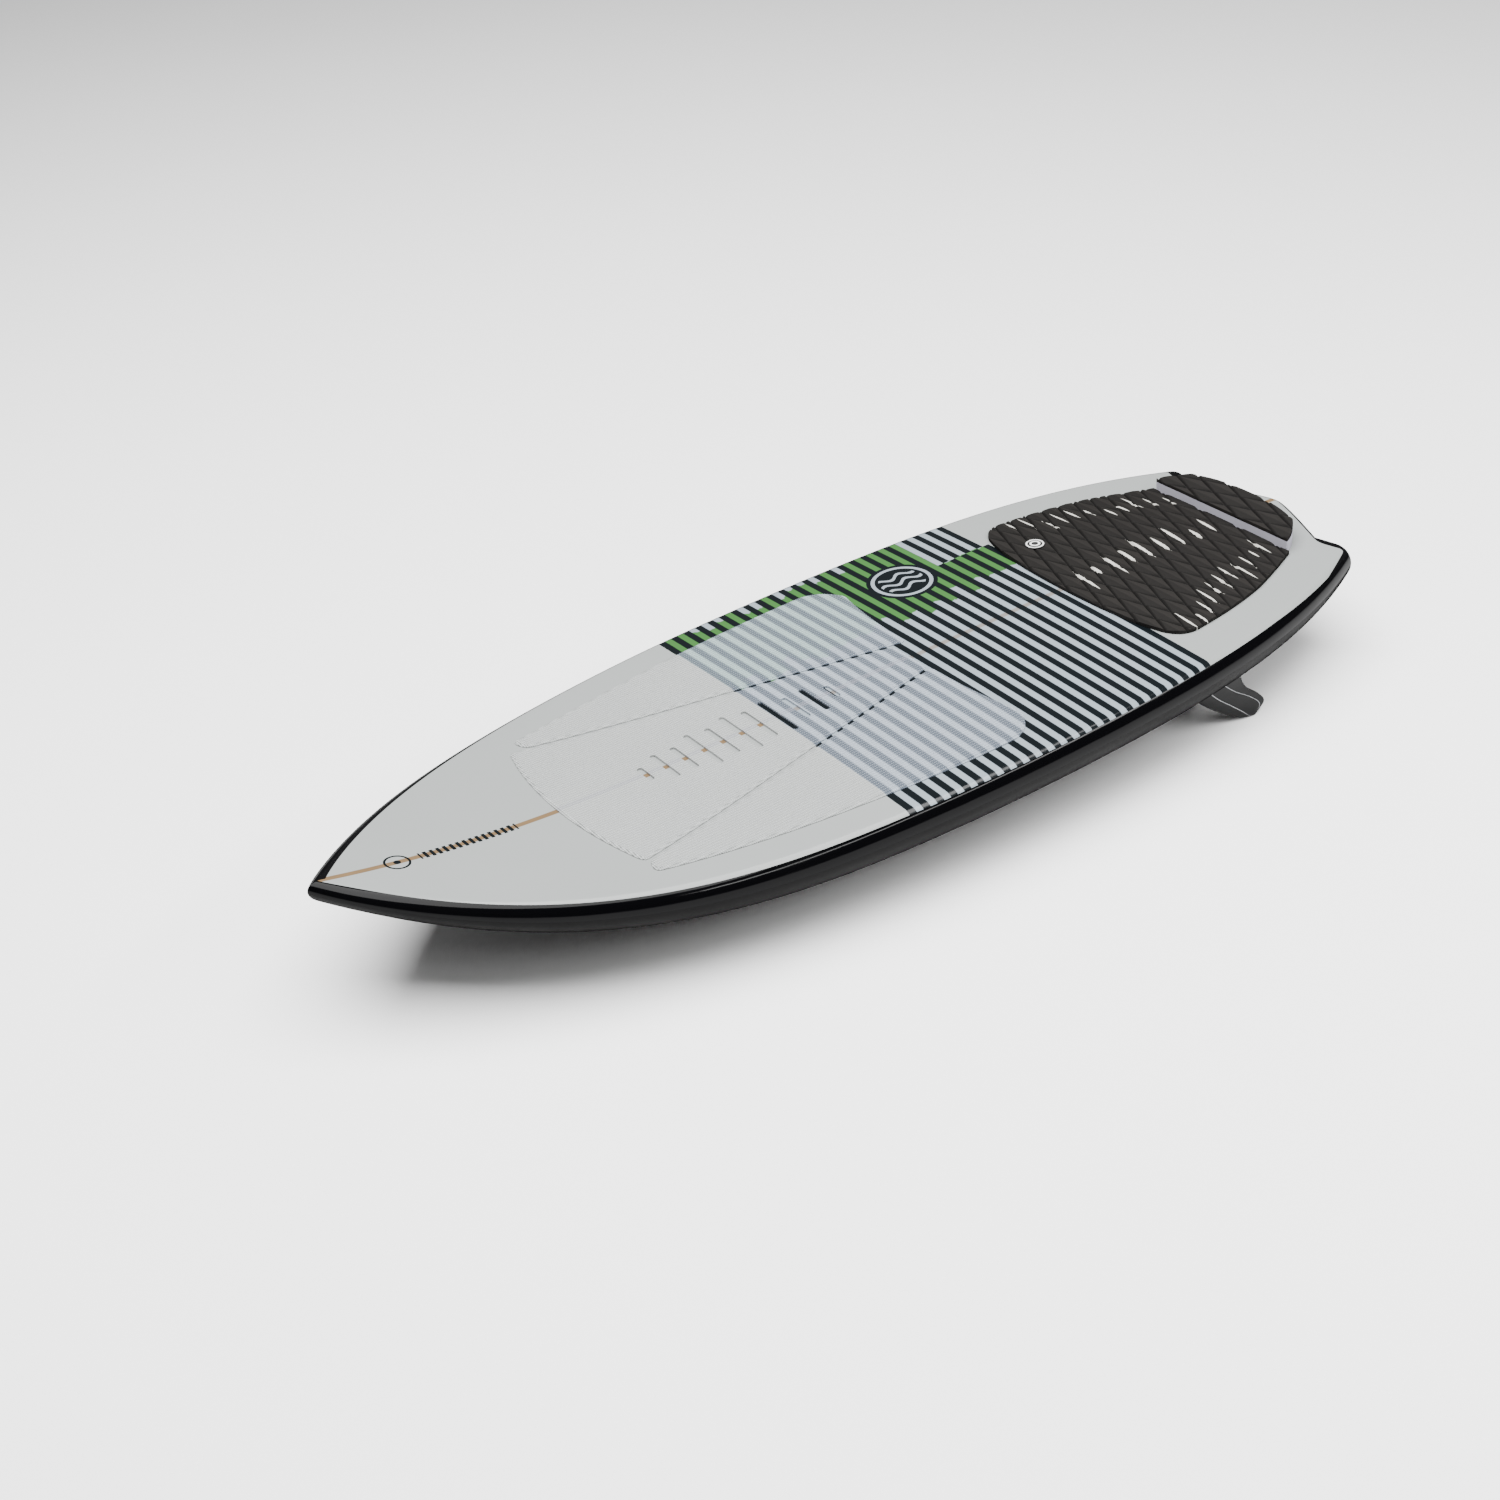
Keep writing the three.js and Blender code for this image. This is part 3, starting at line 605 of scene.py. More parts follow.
def diamond_lines(name):
    """The tail pad's skew lines: a mask that peaks on them, and one that tells a diamond's halves apart. The
    grip foam uses them to paint shade into the grooves and onto one half of each diamond.
    """
    t, given, out = group_tree(
        name,
        [
            ("Vector", "Vector", None),
            ("Width", "Float", 0.026),
            ("Length", "Float", 0.071),
            ("Edge", "Float", 0.08),
        ],
        [("Groove", "Float"), ("Half", "Float")],
    )
    x, y, _ = t.split(given["Vector"])
    along = t.over(t.plus(x, MIDDLE), given["Width"])
    across = t.over(y, given["Length"])
    counts = (t.plus(along, across), t.minus(along, across))
    near = [t.off_whole(count) for count in counts]
    t.put(out["Groove"], t.step(t.maths("MINIMUM", *near), 0.0, given["Edge"], 1.0, 0.0))
    parts = [t.maths("FRACT", count) for count in counts]
    t.put(out["Half"], t.step(t.plus(*parts), 0.9, 1.1))
    return t


def cut_flecks(name):
    """One row of light slashes: columns at a pitch, each with its own length, width and place."""
    t, given, out = group_tree(
        name,
        [
            ("Vector", "Vector", None),
            ("First X", "Float", 0.0),
            ("Pitch", "Float", 0.02),
            ("Count", "Float", 10.0),
            ("Row Y", "Float", 0.0),
            ("Slope", "Float", 0.0),
            ("Half Length", "Float", 0.02),
            ("Half Width", "Float", 0.0009),
            ("Lean", "Float", 0.0),
            ("Seed", "Float", 0.0),
        ],
        [("Mask", "Float")],
    )
    x, y, _ = t.split(given["Vector"])
    from_first = t.minus(x, given["First X"])
    centre_y = t.times_plus(from_first, given["Slope"], given["Row Y"])
    rise = t.minus(y, centre_y)
    bent = t.minus(from_first, t.times(rise, given["Lean"]))
    count = t.over(bent, given["Pitch"])
    column = t.maths("ROUND", count)
    chance = t.random(t.plus(column, given["Seed"]))
    other = t.random(t.plus(column, t.plus(given["Seed"], 31.0)))
    away = t.times(t.maths("ABSOLUTE", t.minus(count, column)), given["Pitch"])
    half = t.times(given["Half Length"], t.times_plus(chance, 0.8, 0.5))
    drift = t.times(t.minus(other, 0.5), given["Half Length"])
    reach = t.over(t.minus(rise, drift), half)
    taper = t.maths("SUBTRACT", 1.0, t.times(reach, reach), clamp=True)
    rough = t.times_plus(t.noise(given["Vector"], 260.0, 3.0), 1.0, 0.5)
    width = t.times(t.times(given["Half Width"], taper), rough)
    slash = t.step(t.minus(width, away), 0.0, 0.0003)
    on = t.times(t.maths("GREATER_THAN", column, -0.5), t.maths("LESS_THAN", column, given["Count"]))
    t.put(out["Mask"], t.times(slash, on))
    return t


GROUP_BUILDERS = (board_print, foam_grain, worn_specks, cross_hatch, diamond_lines, cut_flecks)
GROUPS = {build.__name__: once(build) for build in GROUP_BUILDERS}


# ---- Finishes ----


def finish(name, roughness=0.5, **constants):
    """A material with a Principled shader whose constant values sit on its own sockets."""
    material = bpy.data.materials.new(name)
    material.use_nodes = True
    t = Tree(material.node_tree)
    shader = material.node_tree.nodes["Principled BSDF"]
    shader.inputs["Roughness"].default_value = roughness
    for key, value in constants.items():
        shader.inputs[key.replace("_", " ")].default_value = value
    return material, t, shader.inputs, t.object_place()


def rgba(colour, share=1.0):
    """The colour times a share, with full alpha."""
    return (*[c * share for c in colour], 1)


def dim_at_grazing(t, shader, level):
    """Fades the specular level to nothing where the surface is seen edge on, as under a polarised light."""
    facing = t.node("ShaderNodeLayerWeight").outputs["Facing"]
    t.put(shader["Specular IOR Level"], t.step(facing, 0.40, 0.85, level, 0.0))


MARK_X = 0.528 - MIDDLE
MARK_Y = -0.163
MARK_RADIUS = 0.047
RING_X = 1.362 - MIDDLE
RING_RADIUS = 0.0140
TICKS_FROM = 1.212 - MIDDLE
TICKS_TO = 1.335 - MIDDLE
TICK_PITCH = 0.0082


def round_mark(t, x, y):
    """A plain dark disc with a light ring and three light waves: masks of the dark and the light."""
    from_x = t.minus(x, MARK_X)
    from_y = t.minus(y, MARK_Y)
    away = t.distance(from_x, from_y)
    dark = t.maths("LESS_THAN", away, MARK_RADIUS)
    ring = t.maths("COMPARE", away, MARK_RADIUS * 0.82, MARK_RADIUS * 0.055)
    swell = t.times(t.maths("SINE", t.times(from_x, 190.0)), 0.0045)
    line = t.over(t.minus(from_y, swell), MARK_RADIUS * 0.34)
    near_line = t.off_whole(line)
    wave = t.maths("LESS_THAN", near_line, 0.17)
    few = t.maths("LESS_THAN", t.maths("ABSOLUTE", line), 1.45)
    inner = t.maths("LESS_THAN", away, MARK_RADIUS * 0.66)
    waves = t.times(t.times(wave, few), inner)
    return dark, t.maths("MAXIMUM", ring, waves)


def nose_marks(t, x, y):
    """A thin ring on the stringer near the nose and a row of plain ticks behind it."""
    from_x = t.minus(x, RING_X)
    away = t.distance(from_x, y)
    ring = t.maths("COMPARE", away, RING_RADIUS, 0.0014)
    dot = t.maths("LESS_THAN", away, RING_RADIUS * 0.3)
    along = t.over(t.minus(x, TICKS_FROM), TICK_PITCH)
    near_tick = t.off_whole(along)
    tick = t.maths("LESS_THAN", near_tick, 0.27)
    tall = t.maths("LESS_THAN", t.maths("ABSOLUTE", y), 0.0068)
    middle = (TICKS_FROM + TICKS_TO) / 2
    row = t.maths("COMPARE", x, middle, (TICKS_TO - TICKS_FROM) / 2)
    ticks = t.times(t.times(tick, tall), row)
    return t.maths("MAXIMUM", t.maths("MAXIMUM", ring, dot), ticks)


def deck_finish(colours):
    """Clear laminate over white foam, with the print and the stringer under the gloss."""
    material, t, shader, place_ = finish("deck_gloss", 0.14)
    x, y, _ = t.split(place_)
    printed = t.group("board_print", Vector=place_, Softness=0.03, Wobble=0.05)
    slow = t.noise(place_, 6.0, 3.0)
    white = t.mix(slow, rgba(colours.deck, 0.94), rgba(colours.deck))
    grain = t.noise(t.scaled(place_, 14.0, 900.0, 200.0), 1.0, 3.0, 0.6)
    wood = t.mix(grain, (0.085, 0.050, 0.020, 1), (0.170, 0.105, 0.050, 1))
    wood = t.mix(0.05, wood, white)
    tint = t.mix(printed["Between"], white, rgba(colours.between))
    tint = t.mix(printed["Green"], tint, rgba(colours.green))
    faded = t.times(printed["Stringer"], t.step(printed["Between"], 0.0, 1.0, 1.0, 0.55))
    tint = t.mix(faded, tint, wood)
    specks = t.group("worn_specks", Vector=place_, Scale=330.0, Amount=0.62)["Mask"]
    specks = t.times(specks, printed["Between"])
    tint = t.mix(specks, tint, rgba(colours.black))
    tint = t.mix(printed["Black"], tint, rgba(colours.black))
    dark, light = round_mark(t, x, y)
    tint = t.mix(dark, tint, rgba(colours.black))
    tint = t.mix(t.times(light, dark), tint, rgba(colours.between))
    tint = t.mix(nose_marks(t, x, y), tint, rgba(colours.black))
    rim = t.node("ShaderNodeAttribute", attribute_name="rim").outputs["Fac"]
    painted = t.step(rim, -0.0003, 0.0003, 1.0, 0.0)
    tint = t.mix(painted, tint, rgba(colours.rail))
    dim_at_grazing(t, shader, 0.25)
    t.put(shader["Base Color"], tint)
    t.put(shader["Roughness"], t.step(t.noise(place_, 40.0, 4.0), 0.3, 0.7, 0.12, 0.20))
    t.put(shader["Normal"], t.bump(t.noise(place_, 22.0, 2.0), 0.0003))
    return material


def rail_finish(colours):
    """Black gloss resin with faint haze and fine rubs."""
    material, t, shader, place_ = finish("rail_gloss", 0.06)
    dim_at_grazing(t, shader, 0.09)
    rubs = t.group("worn_specks", Vector=t.scaled(place_, 1.0, 3.0, 3.0), Scale=180.0, Amount=0.45)["Mask"]
    t.put(shader["Base Color"], t.mix(rubs, rgba(colours.rail), (0.004, 0.004, 0.005, 1)))
    haze = t.step(t.noise(place_, 30.0, 4.0), 0.3, 0.8, 0.05, 0.13)
    t.put(shader["Roughness"], t.plus(haze, t.times(rubs, 0.15)))
    t.put(shader["Normal"], t.bump(t.noise(place_, 16.0, 2.0), 0.0004))
    return material


def bottom_finish(colours):
    """Dark sanded laminate: a faint cloth weave and long sanding rubs."""
    material, t, shader, place_ = finish("bottom_satin", 0.42)
    dim_at_grazing(t, shader, 0.05)
    weave = t.group("cross_hatch", Vector=place_, Pitch=0.0016)["Height"]
    slow = t.noise(t.scaled(place_, 1.0, 6.0, 6.0), 7.0, 4.0)
    tone = t.times_plus(weave, 0.25, t.times(slow, 0.75))
    low = rgba(colours.bottom, 0.8)
    t.put(shader["Base Color"], t.mix(tone, low, rgba(colours.bottom)))
    t.put(shader["Roughness"], t.step(slow, 0.25, 0.75, 0.34, 0.5))
    t.put(shader["Normal"], t.bump(weave, 0.00005))
    return material


def front_pad_finish(colours):
    """Clear moulded grip: the white deck and the print show through, softened and paled by the hatching, with
    painted shade in the hatching's valleys.
    """
    material, t, shader, place_ = finish("front_grip", 0.5, Specular_IOR_Level=0.4, Sheen_Weight=0.05)
    hatch = t.group("cross_hatch", Vector=place_, Pitch=colours.hatch_pitch)
    printed = t.group("board_print", Vector=place_, Softness=0.09, Wobble=0.07)
    pale = t.mix(t.noise(place_, 9.0, 2.0), (0.330, 0.345, 0.336, 1), (0.370, 0.382, 0.375, 1))
    light = t.mix(printed["Between"], pale, (0.300, 0.350, 0.410, 1))
    light = t.mix(t.times(printed["Green"], 0.32), light, (0.20, 0.42, 0.28, 1))
    knots = t.step(hatch["Height"], 0.35, 0.95)
    seen = t.times(printed["Black"], t.times_plus(knots, -0.25, 0.95))
    tint = t.mix(seen, light, (0.018, 0.036, 0.065, 1))
    line = t.times(printed["Stringer"], 0.35)
    tint = t.mix(line, tint, (0.22, 0.22, 0.27, 1))
    tint = t.mix(t.times(knots, 0.24), tint, (0.56, 0.58, 0.59, 1))
    # Painted shade: the low valleys of the hatching are darkened towards a dark grey.
    painted_valley_shade = t.step(hatch["Height"], 0.05, 0.50, 1.0, 0.0)
    tint = t.mix(t.times(painted_valley_shade, 0.30), tint, (0.16, 0.17, 0.18, 1))
    t.put(shader["Base Color"], tint)
    t.put(shader["Roughness"], t.step(hatch["Height"], 0.0, 1.0, 0.62, 0.42))
    t.put(shader["Normal"], t.bump(hatch["Height"], 0.0022))
    return material


def grip_foam_finish(colours):
    """Dark grip foam: sanded cells, fine knife lines, and slashes where the pale layer shows, with painted
    shade in the grooves and on one half of each diamond.
    """
    material, t, shader, place_ = finish("tail_grip", 0.85)
    dim_at_grazing(t, shader, 0.12)
    grain = t.group("foam_grain", Vector=place_, Cell=1300.0, Patch=22.0)
    low = rgba(colours.tail_pad, 0.85)
    high = rgba(colours.tail_pad, 1.9)
    tint = t.mix(grain["Tone"], low, high)
    lines = t.group("diamond_lines", Vector=place_)
    # Painted shade: one half of each diamond is darkened, as if that face of its low roof were turned from
    # the light.
    tint = t.mix(t.times(lines["Half"], 0.45), tint, (0.0020, 0.0018, 0.0017, 1))
    # Painted shade: the grooves are darkened nearly to black.
    tint = t.mix(t.times(lines["Groove"], 0.85), tint, (0.0012, 0.0011, 0.0011, 1))
    masks = [t.group("cut_flecks", Vector=place_, **row)["Mask"] for row in fleck_rows()]
    mask = t.maths("MAXIMUM", t.maths("MAXIMUM", masks[0], masks[1]), masks[2])
    tint = t.mix(mask, tint, (0.42, 0.41, 0.38, 1))
    t.put(shader["Base Color"], tint)
    t.put(shader["Roughness"], t.step(grain["Tone"], 0.3, 0.7, 0.72, 0.92))
    lines = t.noise(t.scaled(place_, 420.0, 60.0, 60.0), 1.0, 3.0, 0.6)
    fine = t.bump(lines, 0.0005)
    t.put(shader["Normal"], t.bump(grain["Height"], 0.00035, fine))
    return material


def fleck_rows():
    """The three rows of slashes on the tail pad: along each side and down the middle."""
    near = dict(First_X=0.135 - MIDDLE, Pitch=0.0205, Count=11, Row_Y=0.094, Slope=0.40, Half_Length=0.022)
    middle = dict(First_X=0.143 - MIDDLE, Pitch=0.0273, Count=9, Row_Y=0.002, Slope=0.0, Half_Length=0.027)
    far = dict(First_X=0.128 - MIDDLE, Pitch=0.0203, Count=11, Row_Y=-0.088, Slope=-0.38, Half_Length=0.020)
    near.update(Half_Width=0.0017, Lean=0.06, Seed=3.0)
    middle.update(Half_Width=0.0026, Lean=0.10, Seed=11.0)
    far.update(Half_Width=0.0016, Lean=-0.04, Seed=23.0)
    return near, middle, far


def riser_finish(colours):
    """Pale foam riser, with the faint level lines of its sheets."""
    material, t, shader, place_ = finish("riser_foam", 0.8, Specular_IOR_Level=0.3)
    grain = t.group("foam_grain", Vector=place_, Cell=1500.0, Patch=30.0)
    _, _, z = t.split(place_)
    layers = t.maths("SINE", t.times(z, 2 * math.pi / 0.0021))
    low = rgba(colours.riser, 0.82)
    tone = t.times_plus(layers, 0.14, grain["Tone"])
    t.put(shader["Base Color"], t.mix(tone, low, rgba(colours.riser)))
    t.put(shader["Roughness"], t.step(grain["Tone"], 0.3, 0.7, 0.7, 0.9))
    t.put(shader["Normal"], t.bump(t.times_plus(layers, 0.3, grain["Height"]), 0.0002))
    return material


def badge_finish(centre_x, centre_y, radius):
    """Black rubber with a plain white double ring."""
    material, t, shader, place_ = finish("badge_rubber", 0.45)
    x, y, _ = t.split(place_)
    from_x = t.minus(x, centre_x)
    from_y = t.minus(y, centre_y)
    away = t.distance(from_x, from_y)
    outer = t.maths("COMPARE", away, radius * 0.80, radius * 0.07)
    inner = t.maths("COMPARE", away, radius * 0.42, radius * 0.09)
    ring = t.maths("MAXIMUM", outer, inner)
    worn = t.step(t.noise(place_, 500.0, 3.0), 0.30, 0.42)
    rubber, paint = (0.012, 0.012, 0.012, 1), (0.72, 0.72, 0.70, 1)
    t.put(shader["Base Color"], t.mix(t.times(ring, worn), rubber, paint))
    t.put(shader["Roughness"], t.step(t.noise(place_, 300.0, 2.0), 0.3, 0.7, 0.38, 0.55))
    return material


def fin_finish(colours):
    """Dark moulded composite with short fibres and thin light arcs that spread from the front of its root."""
    material, t, shader, place_ = finish("fin_composite", 0.34)
    dim_at_grazing(t, shader, 0.12)
    chart = t.node("ShaderNodeUVMap", uv_map="blade")
    across, down, _ = t.split(chart.outputs[0])
    fibres = t.noise(t.scaled(place_, 1.0, 1.0, 0.35), 1500.0, 2.0, 0.6)
    slow = t.noise(place_, 60.0, 3.0)
    tone = t.times_plus(fibres, 0.5, t.times(slow, 0.5))
    low = rgba(colours.fin, 0.6)
    tint = t.mix(tone, low, rgba(colours.fin))
    drop = t.times(down, down)
    for start, sweep, width in ((0.10, 0.42, 0.010), (0.14, 0.95, 0.008), (0.08, 1.75, 0.007)):
        line = t.times_plus(t.maths("SQRT", down), sweep, t.times_plus(drop, -0.25, start))
        arc = t.maths("COMPARE", across, line, width)
        tint = t.mix(t.times(arc, 0.8), tint, (0.34, 0.35, 0.36, 1))
    t.put(shader["Base Color"], tint)
    t.put(shader["Roughness"], t.step(slow, 0.3, 0.7, 0.28, 0.42))
    t.put(shader["Normal"], t.bump(fibres, 0.00006))
    return material


def moulded_finish(name, colour, roughness):
    """Plain moulded plastic: slow tone, fine orange peel and rubbed patches."""
    material, t, shader, place_ = finish(name, roughness)
    slow = t.noise(place_, 45.0, 4.0)
    rubs = t.group("worn_specks", Vector=place_, Scale=240.0, Amount=0.5)["Mask"]
    tint = t.mix(slow, rgba(colour, 0.75), rgba(colour))
    t.put(shader["Base Color"], t.mix(t.times(rubs, 0.3), tint, rgba(colour, 2.2)))
    t.put(shader["Roughness"], t.step(slow, 0.3, 0.7, roughness - 0.08, roughness + 0.08))
    t.put(shader["Normal"], t.bump(t.noise(place_, 900.0, 2.0), 0.00005))
    return material


def steel_finish():
    """Turned stainless steel with fine rings of tool marks."""
    material, t, shader, place_ = finish("screw_steel", 0.28, Metallic=1.0)
    marks = t.noise(t.scaled(place_, 200.0, 200.0, 4000.0), 1.0, 2.0)
    t.put(shader["Base Color"], t.mix(marks, (0.42, 0.42, 0.43, 1), (0.62, 0.62, 0.63, 1)))
    t.put(shader["Roughness"], t.step(marks, 0.3, 0.7, 0.22, 0.36))
    return material


def core_finish(name, colour, cell):
    """Shaped foam of the core and of the dense plugs: open cells on a cut face."""
    material, t, shader, place_ = finish(name, 0.9)
    grain = t.group("foam_grain", Vector=place_, Cell=cell, Patch=12.0)
    t.put(shader["Base Color"], t.mix(grain["Tone"], rgba(colour, 0.86), rgba(colour)))
    t.put(shader["Roughness"], t.step(grain["Tone"], 0.3, 0.7, 0.8, 0.95))
    t.put(shader["Normal"], t.bump(grain["Height"], 0.0003))
    return material


def wood_finish():
    """Sawn stringer: grain stretched along the board over darker growth lines."""
    material, t, shader, place_ = finish("stringer_wood", 0.6)
    fine = t.noise(t.scaled(place_, 12.0, 900.0, 700.0), 1.0, 4.0, 0.6)
    rings = t.noise(t.scaled(place_, 1.5, 60.0, 110.0), 1.0, 2.0)
    tone = t.times_plus(fine, 0.45, t.times(rings, 0.55))
    t.put(shader["Base Color"], t.mix(tone, (0.30, 0.18, 0.09, 1), (0.66, 0.48, 0.29, 1)))
    t.put(shader["Roughness"], t.step(fine, 0.3, 0.7, 0.5, 0.7))
    t.put(shader["Normal"], t.bump(fine, 0.0002))
    return material


# ---- Properties ----


def colour_property(name, description, default):
    return FloatVectorProperty(
        name=name, description=description, default=default, subtype="COLOR", min=0, max=1
    )


def length_property(name, description, default):
    return FloatProperty(
        name=name, description=description, default=default, unit="LENGTH", subtype="DISTANCE"
    )


def power_property(name, description, default):
    return FloatProperty(name=name, description=description, default=default, unit="POWER")


class BoardColours(bpy.types.PropertyGroup):
    deck: colour_property("Deck", "White of the deck under its gloss", (0.235, 0.246, 0.242))
    between: colour_property("Light stripes", "Pale tint between the black stripes", (0.200, 0.232, 0.258))
    black: colour_property("Black print", "Ink of the stripes", (0.0030, 0.0045, 0.0056))
    green: colour_property("Green print", "Ink of the green patch", (0.034, 0.108, 0.027))
    rail: colour_property("Rail", "Resin of the rail band", (0.0009, 0.0009, 0.0012))
    bottom: colour_property("Bottom", "Laminate of the bottom", (0.0042, 0.0041, 0.0042))
    tail_pad: colour_property("Tail pad", "Dark grip foam", (0.0088, 0.0080, 0.0074))
    riser: colour_property("Riser", "Pale foam under the kick", (0.40, 0.39, 0.45))
    fin: colour_property("Fin", "Moulded composite of the fins", (0.0034, 0.0035, 0.0037))
    hatch_pitch: length_property("Hatching", "Distance between the ridges of the front pads", 0.0052)


class PadSizes(bpy.types.PropertyGroup):
    front_height: length_property("Front pad height", "Thickness of the front pads", 0.0025)
    front_split: length_property("Split", "Gap between the front pads", 0.0038)
    slot_width: length_property("Slot width", "Width of the slots in the centre pad", 0.0078)
    tail_height: length_property("Tail pad height", "Thickness of the tail pad and the kick's cover", 0.005)
    groove_depth: length_property("Groove depth", "Depth of the tail pad's grooves", 0.0028)
    groove_width: length_property("Groove width", "Width of the tail pad's grooves at their top", 0.0044)
    diamond_width: length_property("Diamond width", "Width of a tail pad diamond, along the board", 0.026)
    diamond_length: length_property("Diamond length", "Length of a diamond, across the board", 0.071)


class FinSizes(bpy.types.PropertyGroup):
    base: length_property("Base", "Length of a fin at its root", 0.100)
    depth: length_property("Depth", "Height of a fin", 0.086)
    foil: length_property("Foil", "Greatest thickness of a fin", 0.0065)
    thread_pitch: length_property("Thread pitch", "Pitch of the grub screws", 0.0008)
    sides: IntProperty(name="Sides", description="Segments round a screw", default=32, min=12)


class StageSizes(bpy.types.PropertyGroup):
    key: power_property("Key light", "Power of the overhead light", 620.0)
    strip: power_property("Strip light", "Power of the long side light", 44.0)
    sky: FloatProperty(name="Surroundings", description="Brightness of the even surroundings", default=0.20)


# ---- Operators ----


class BOARD_OT_laminate(bpy.types.Operator):
    """Builds the deck, the rail band and the bottom as smooth skins"""

    bl_idname = "board.laminate"
    bl_label = "Laminate"

    SEAM = math.radians(0.12)
    DECK_ROWS = 26
    TURN_ROWS = 9
    RAIL_ROWS = 14
    BOTTOM_ROWS = 24
    ROW_SPREAD = 1.15
    SHARP = math.radians(40)

    def execute(self, context):
        colours = context.scene.board_colours
        stations = outline_stations()
        split = self.SEAM
        band = band_angle(stations)
        flat = np.linspace(1, 0, self.DECK_ROWS) ** self.ROW_SPREAD
        no_share, turn = np.zeros(self.TURN_ROWS), np.linspace(0, 1, self.TURN_ROWS + 1)[1:]
        level = np.full((len(stations), self.DECK_ROWS), QUARTER)
        angle = np.concatenate([level, QUARTER + (band + split - QUARTER) * turn], 1)
        deck = hull_rows(stations, True, np.concatenate([flat, no_share]), angle)
        self.skin("deck_surface", deck, deck_finish(colours), "deck_laminate", "deck_skin")
        angle = split + (band - 2 * split) * np.linspace(1, 0, self.RAIL_ROWS)
        rail = hull_rows(stations, True, 0.0, angle)
        bands = ("rail_band_left", "rail_band_right")
        self.skin("rail_surface", rail, rail_finish(colours), "rail_laminate", *bands)
        tuck = np.linspace(0, 1, self.RAIL_ROWS + 1)[:-1] * QUARTER
        angle = np.concatenate([np.maximum(tuck, split), np.full(self.BOTTOM_ROWS, QUARTER)])
        inward = np.linspace(0, 1, self.BOTTOM_ROWS) ** self.ROW_SPREAD
        share = np.concatenate([np.zeros(self.RAIL_ROWS), inward])
        bottom = hull_rows(stations, False, share, angle)
        self.skin("bottom_surface", bottom, bottom_finish(colours), "bottom_laminate", "bottom_skin")
        return {"FINISHED"}

    def skin(self, name, points, material, slot, *nodes):
        faces = grid_faces(*points.shape[:2])
        piece = new_piece(name, points, faces, closed=False)
        self.turn_outwards(piece.data)
        wall = piece.modifiers.new("wall", "SOLIDIFY")
        wall.thickness = SKIN
        wall.offset = -1
        settle(piece)
        if name == "bottom_surface":
            boolean(piece, "DIFFERENCE", *[fin.pocket() for fin in FINS])
        piece.data.shade_smooth()
        piece.data.set_sharp_from_angle(angle=self.SHARP)
        if name == "deck_surface":
            self.store_rim(piece.data)
        dress(piece, material, "board", slot, *nodes)

    def store_rim(self, mesh):
        """Stores as rim each point's distance in from the outline, less the reach of the rim's paint."""
        points = np.zeros(len(mesh.vertices) * 3)
        mesh.vertices.foreach_get("co", points)
        x, y, _ = points.reshape(-1, 3).T
        outline = resample(outline_stations()[:, :2], 0.003)
        away = np.hypot(x[:, None] + MIDDLE - outline[:, 0], y[:, None] - outline[:, 1]).min(1)
        layer = mesh.attributes.new("rim", "FLOAT", "POINT")
        layer.data.foreach_set("value", (away - rim_reach(x + MIDDLE, y)).astype(np.float32))

    def turn_outwards(self, mesh):
        """Flips an open skin whose faces point to the middle of the board."""
        count = len(mesh.polygons)
        centres = np.zeros(count * 3)
        normals = np.zeros(count * 3)
        mesh.polygons.foreach_get("center", centres)
        mesh.polygons.foreach_get("normal", normals)
        x, y, z = centres.reshape(-1, 3).T
        inner_height = LIFT + (bottom_line(x + MIDDLE) + deck_line(x + MIDDLE)) / 2
        away = np.stack([0 * x, y * 0.2, z - inner_height], 1)
        if np.sum(away * normals.reshape(-1, 3)) < 0:
            mesh.flip_normals()


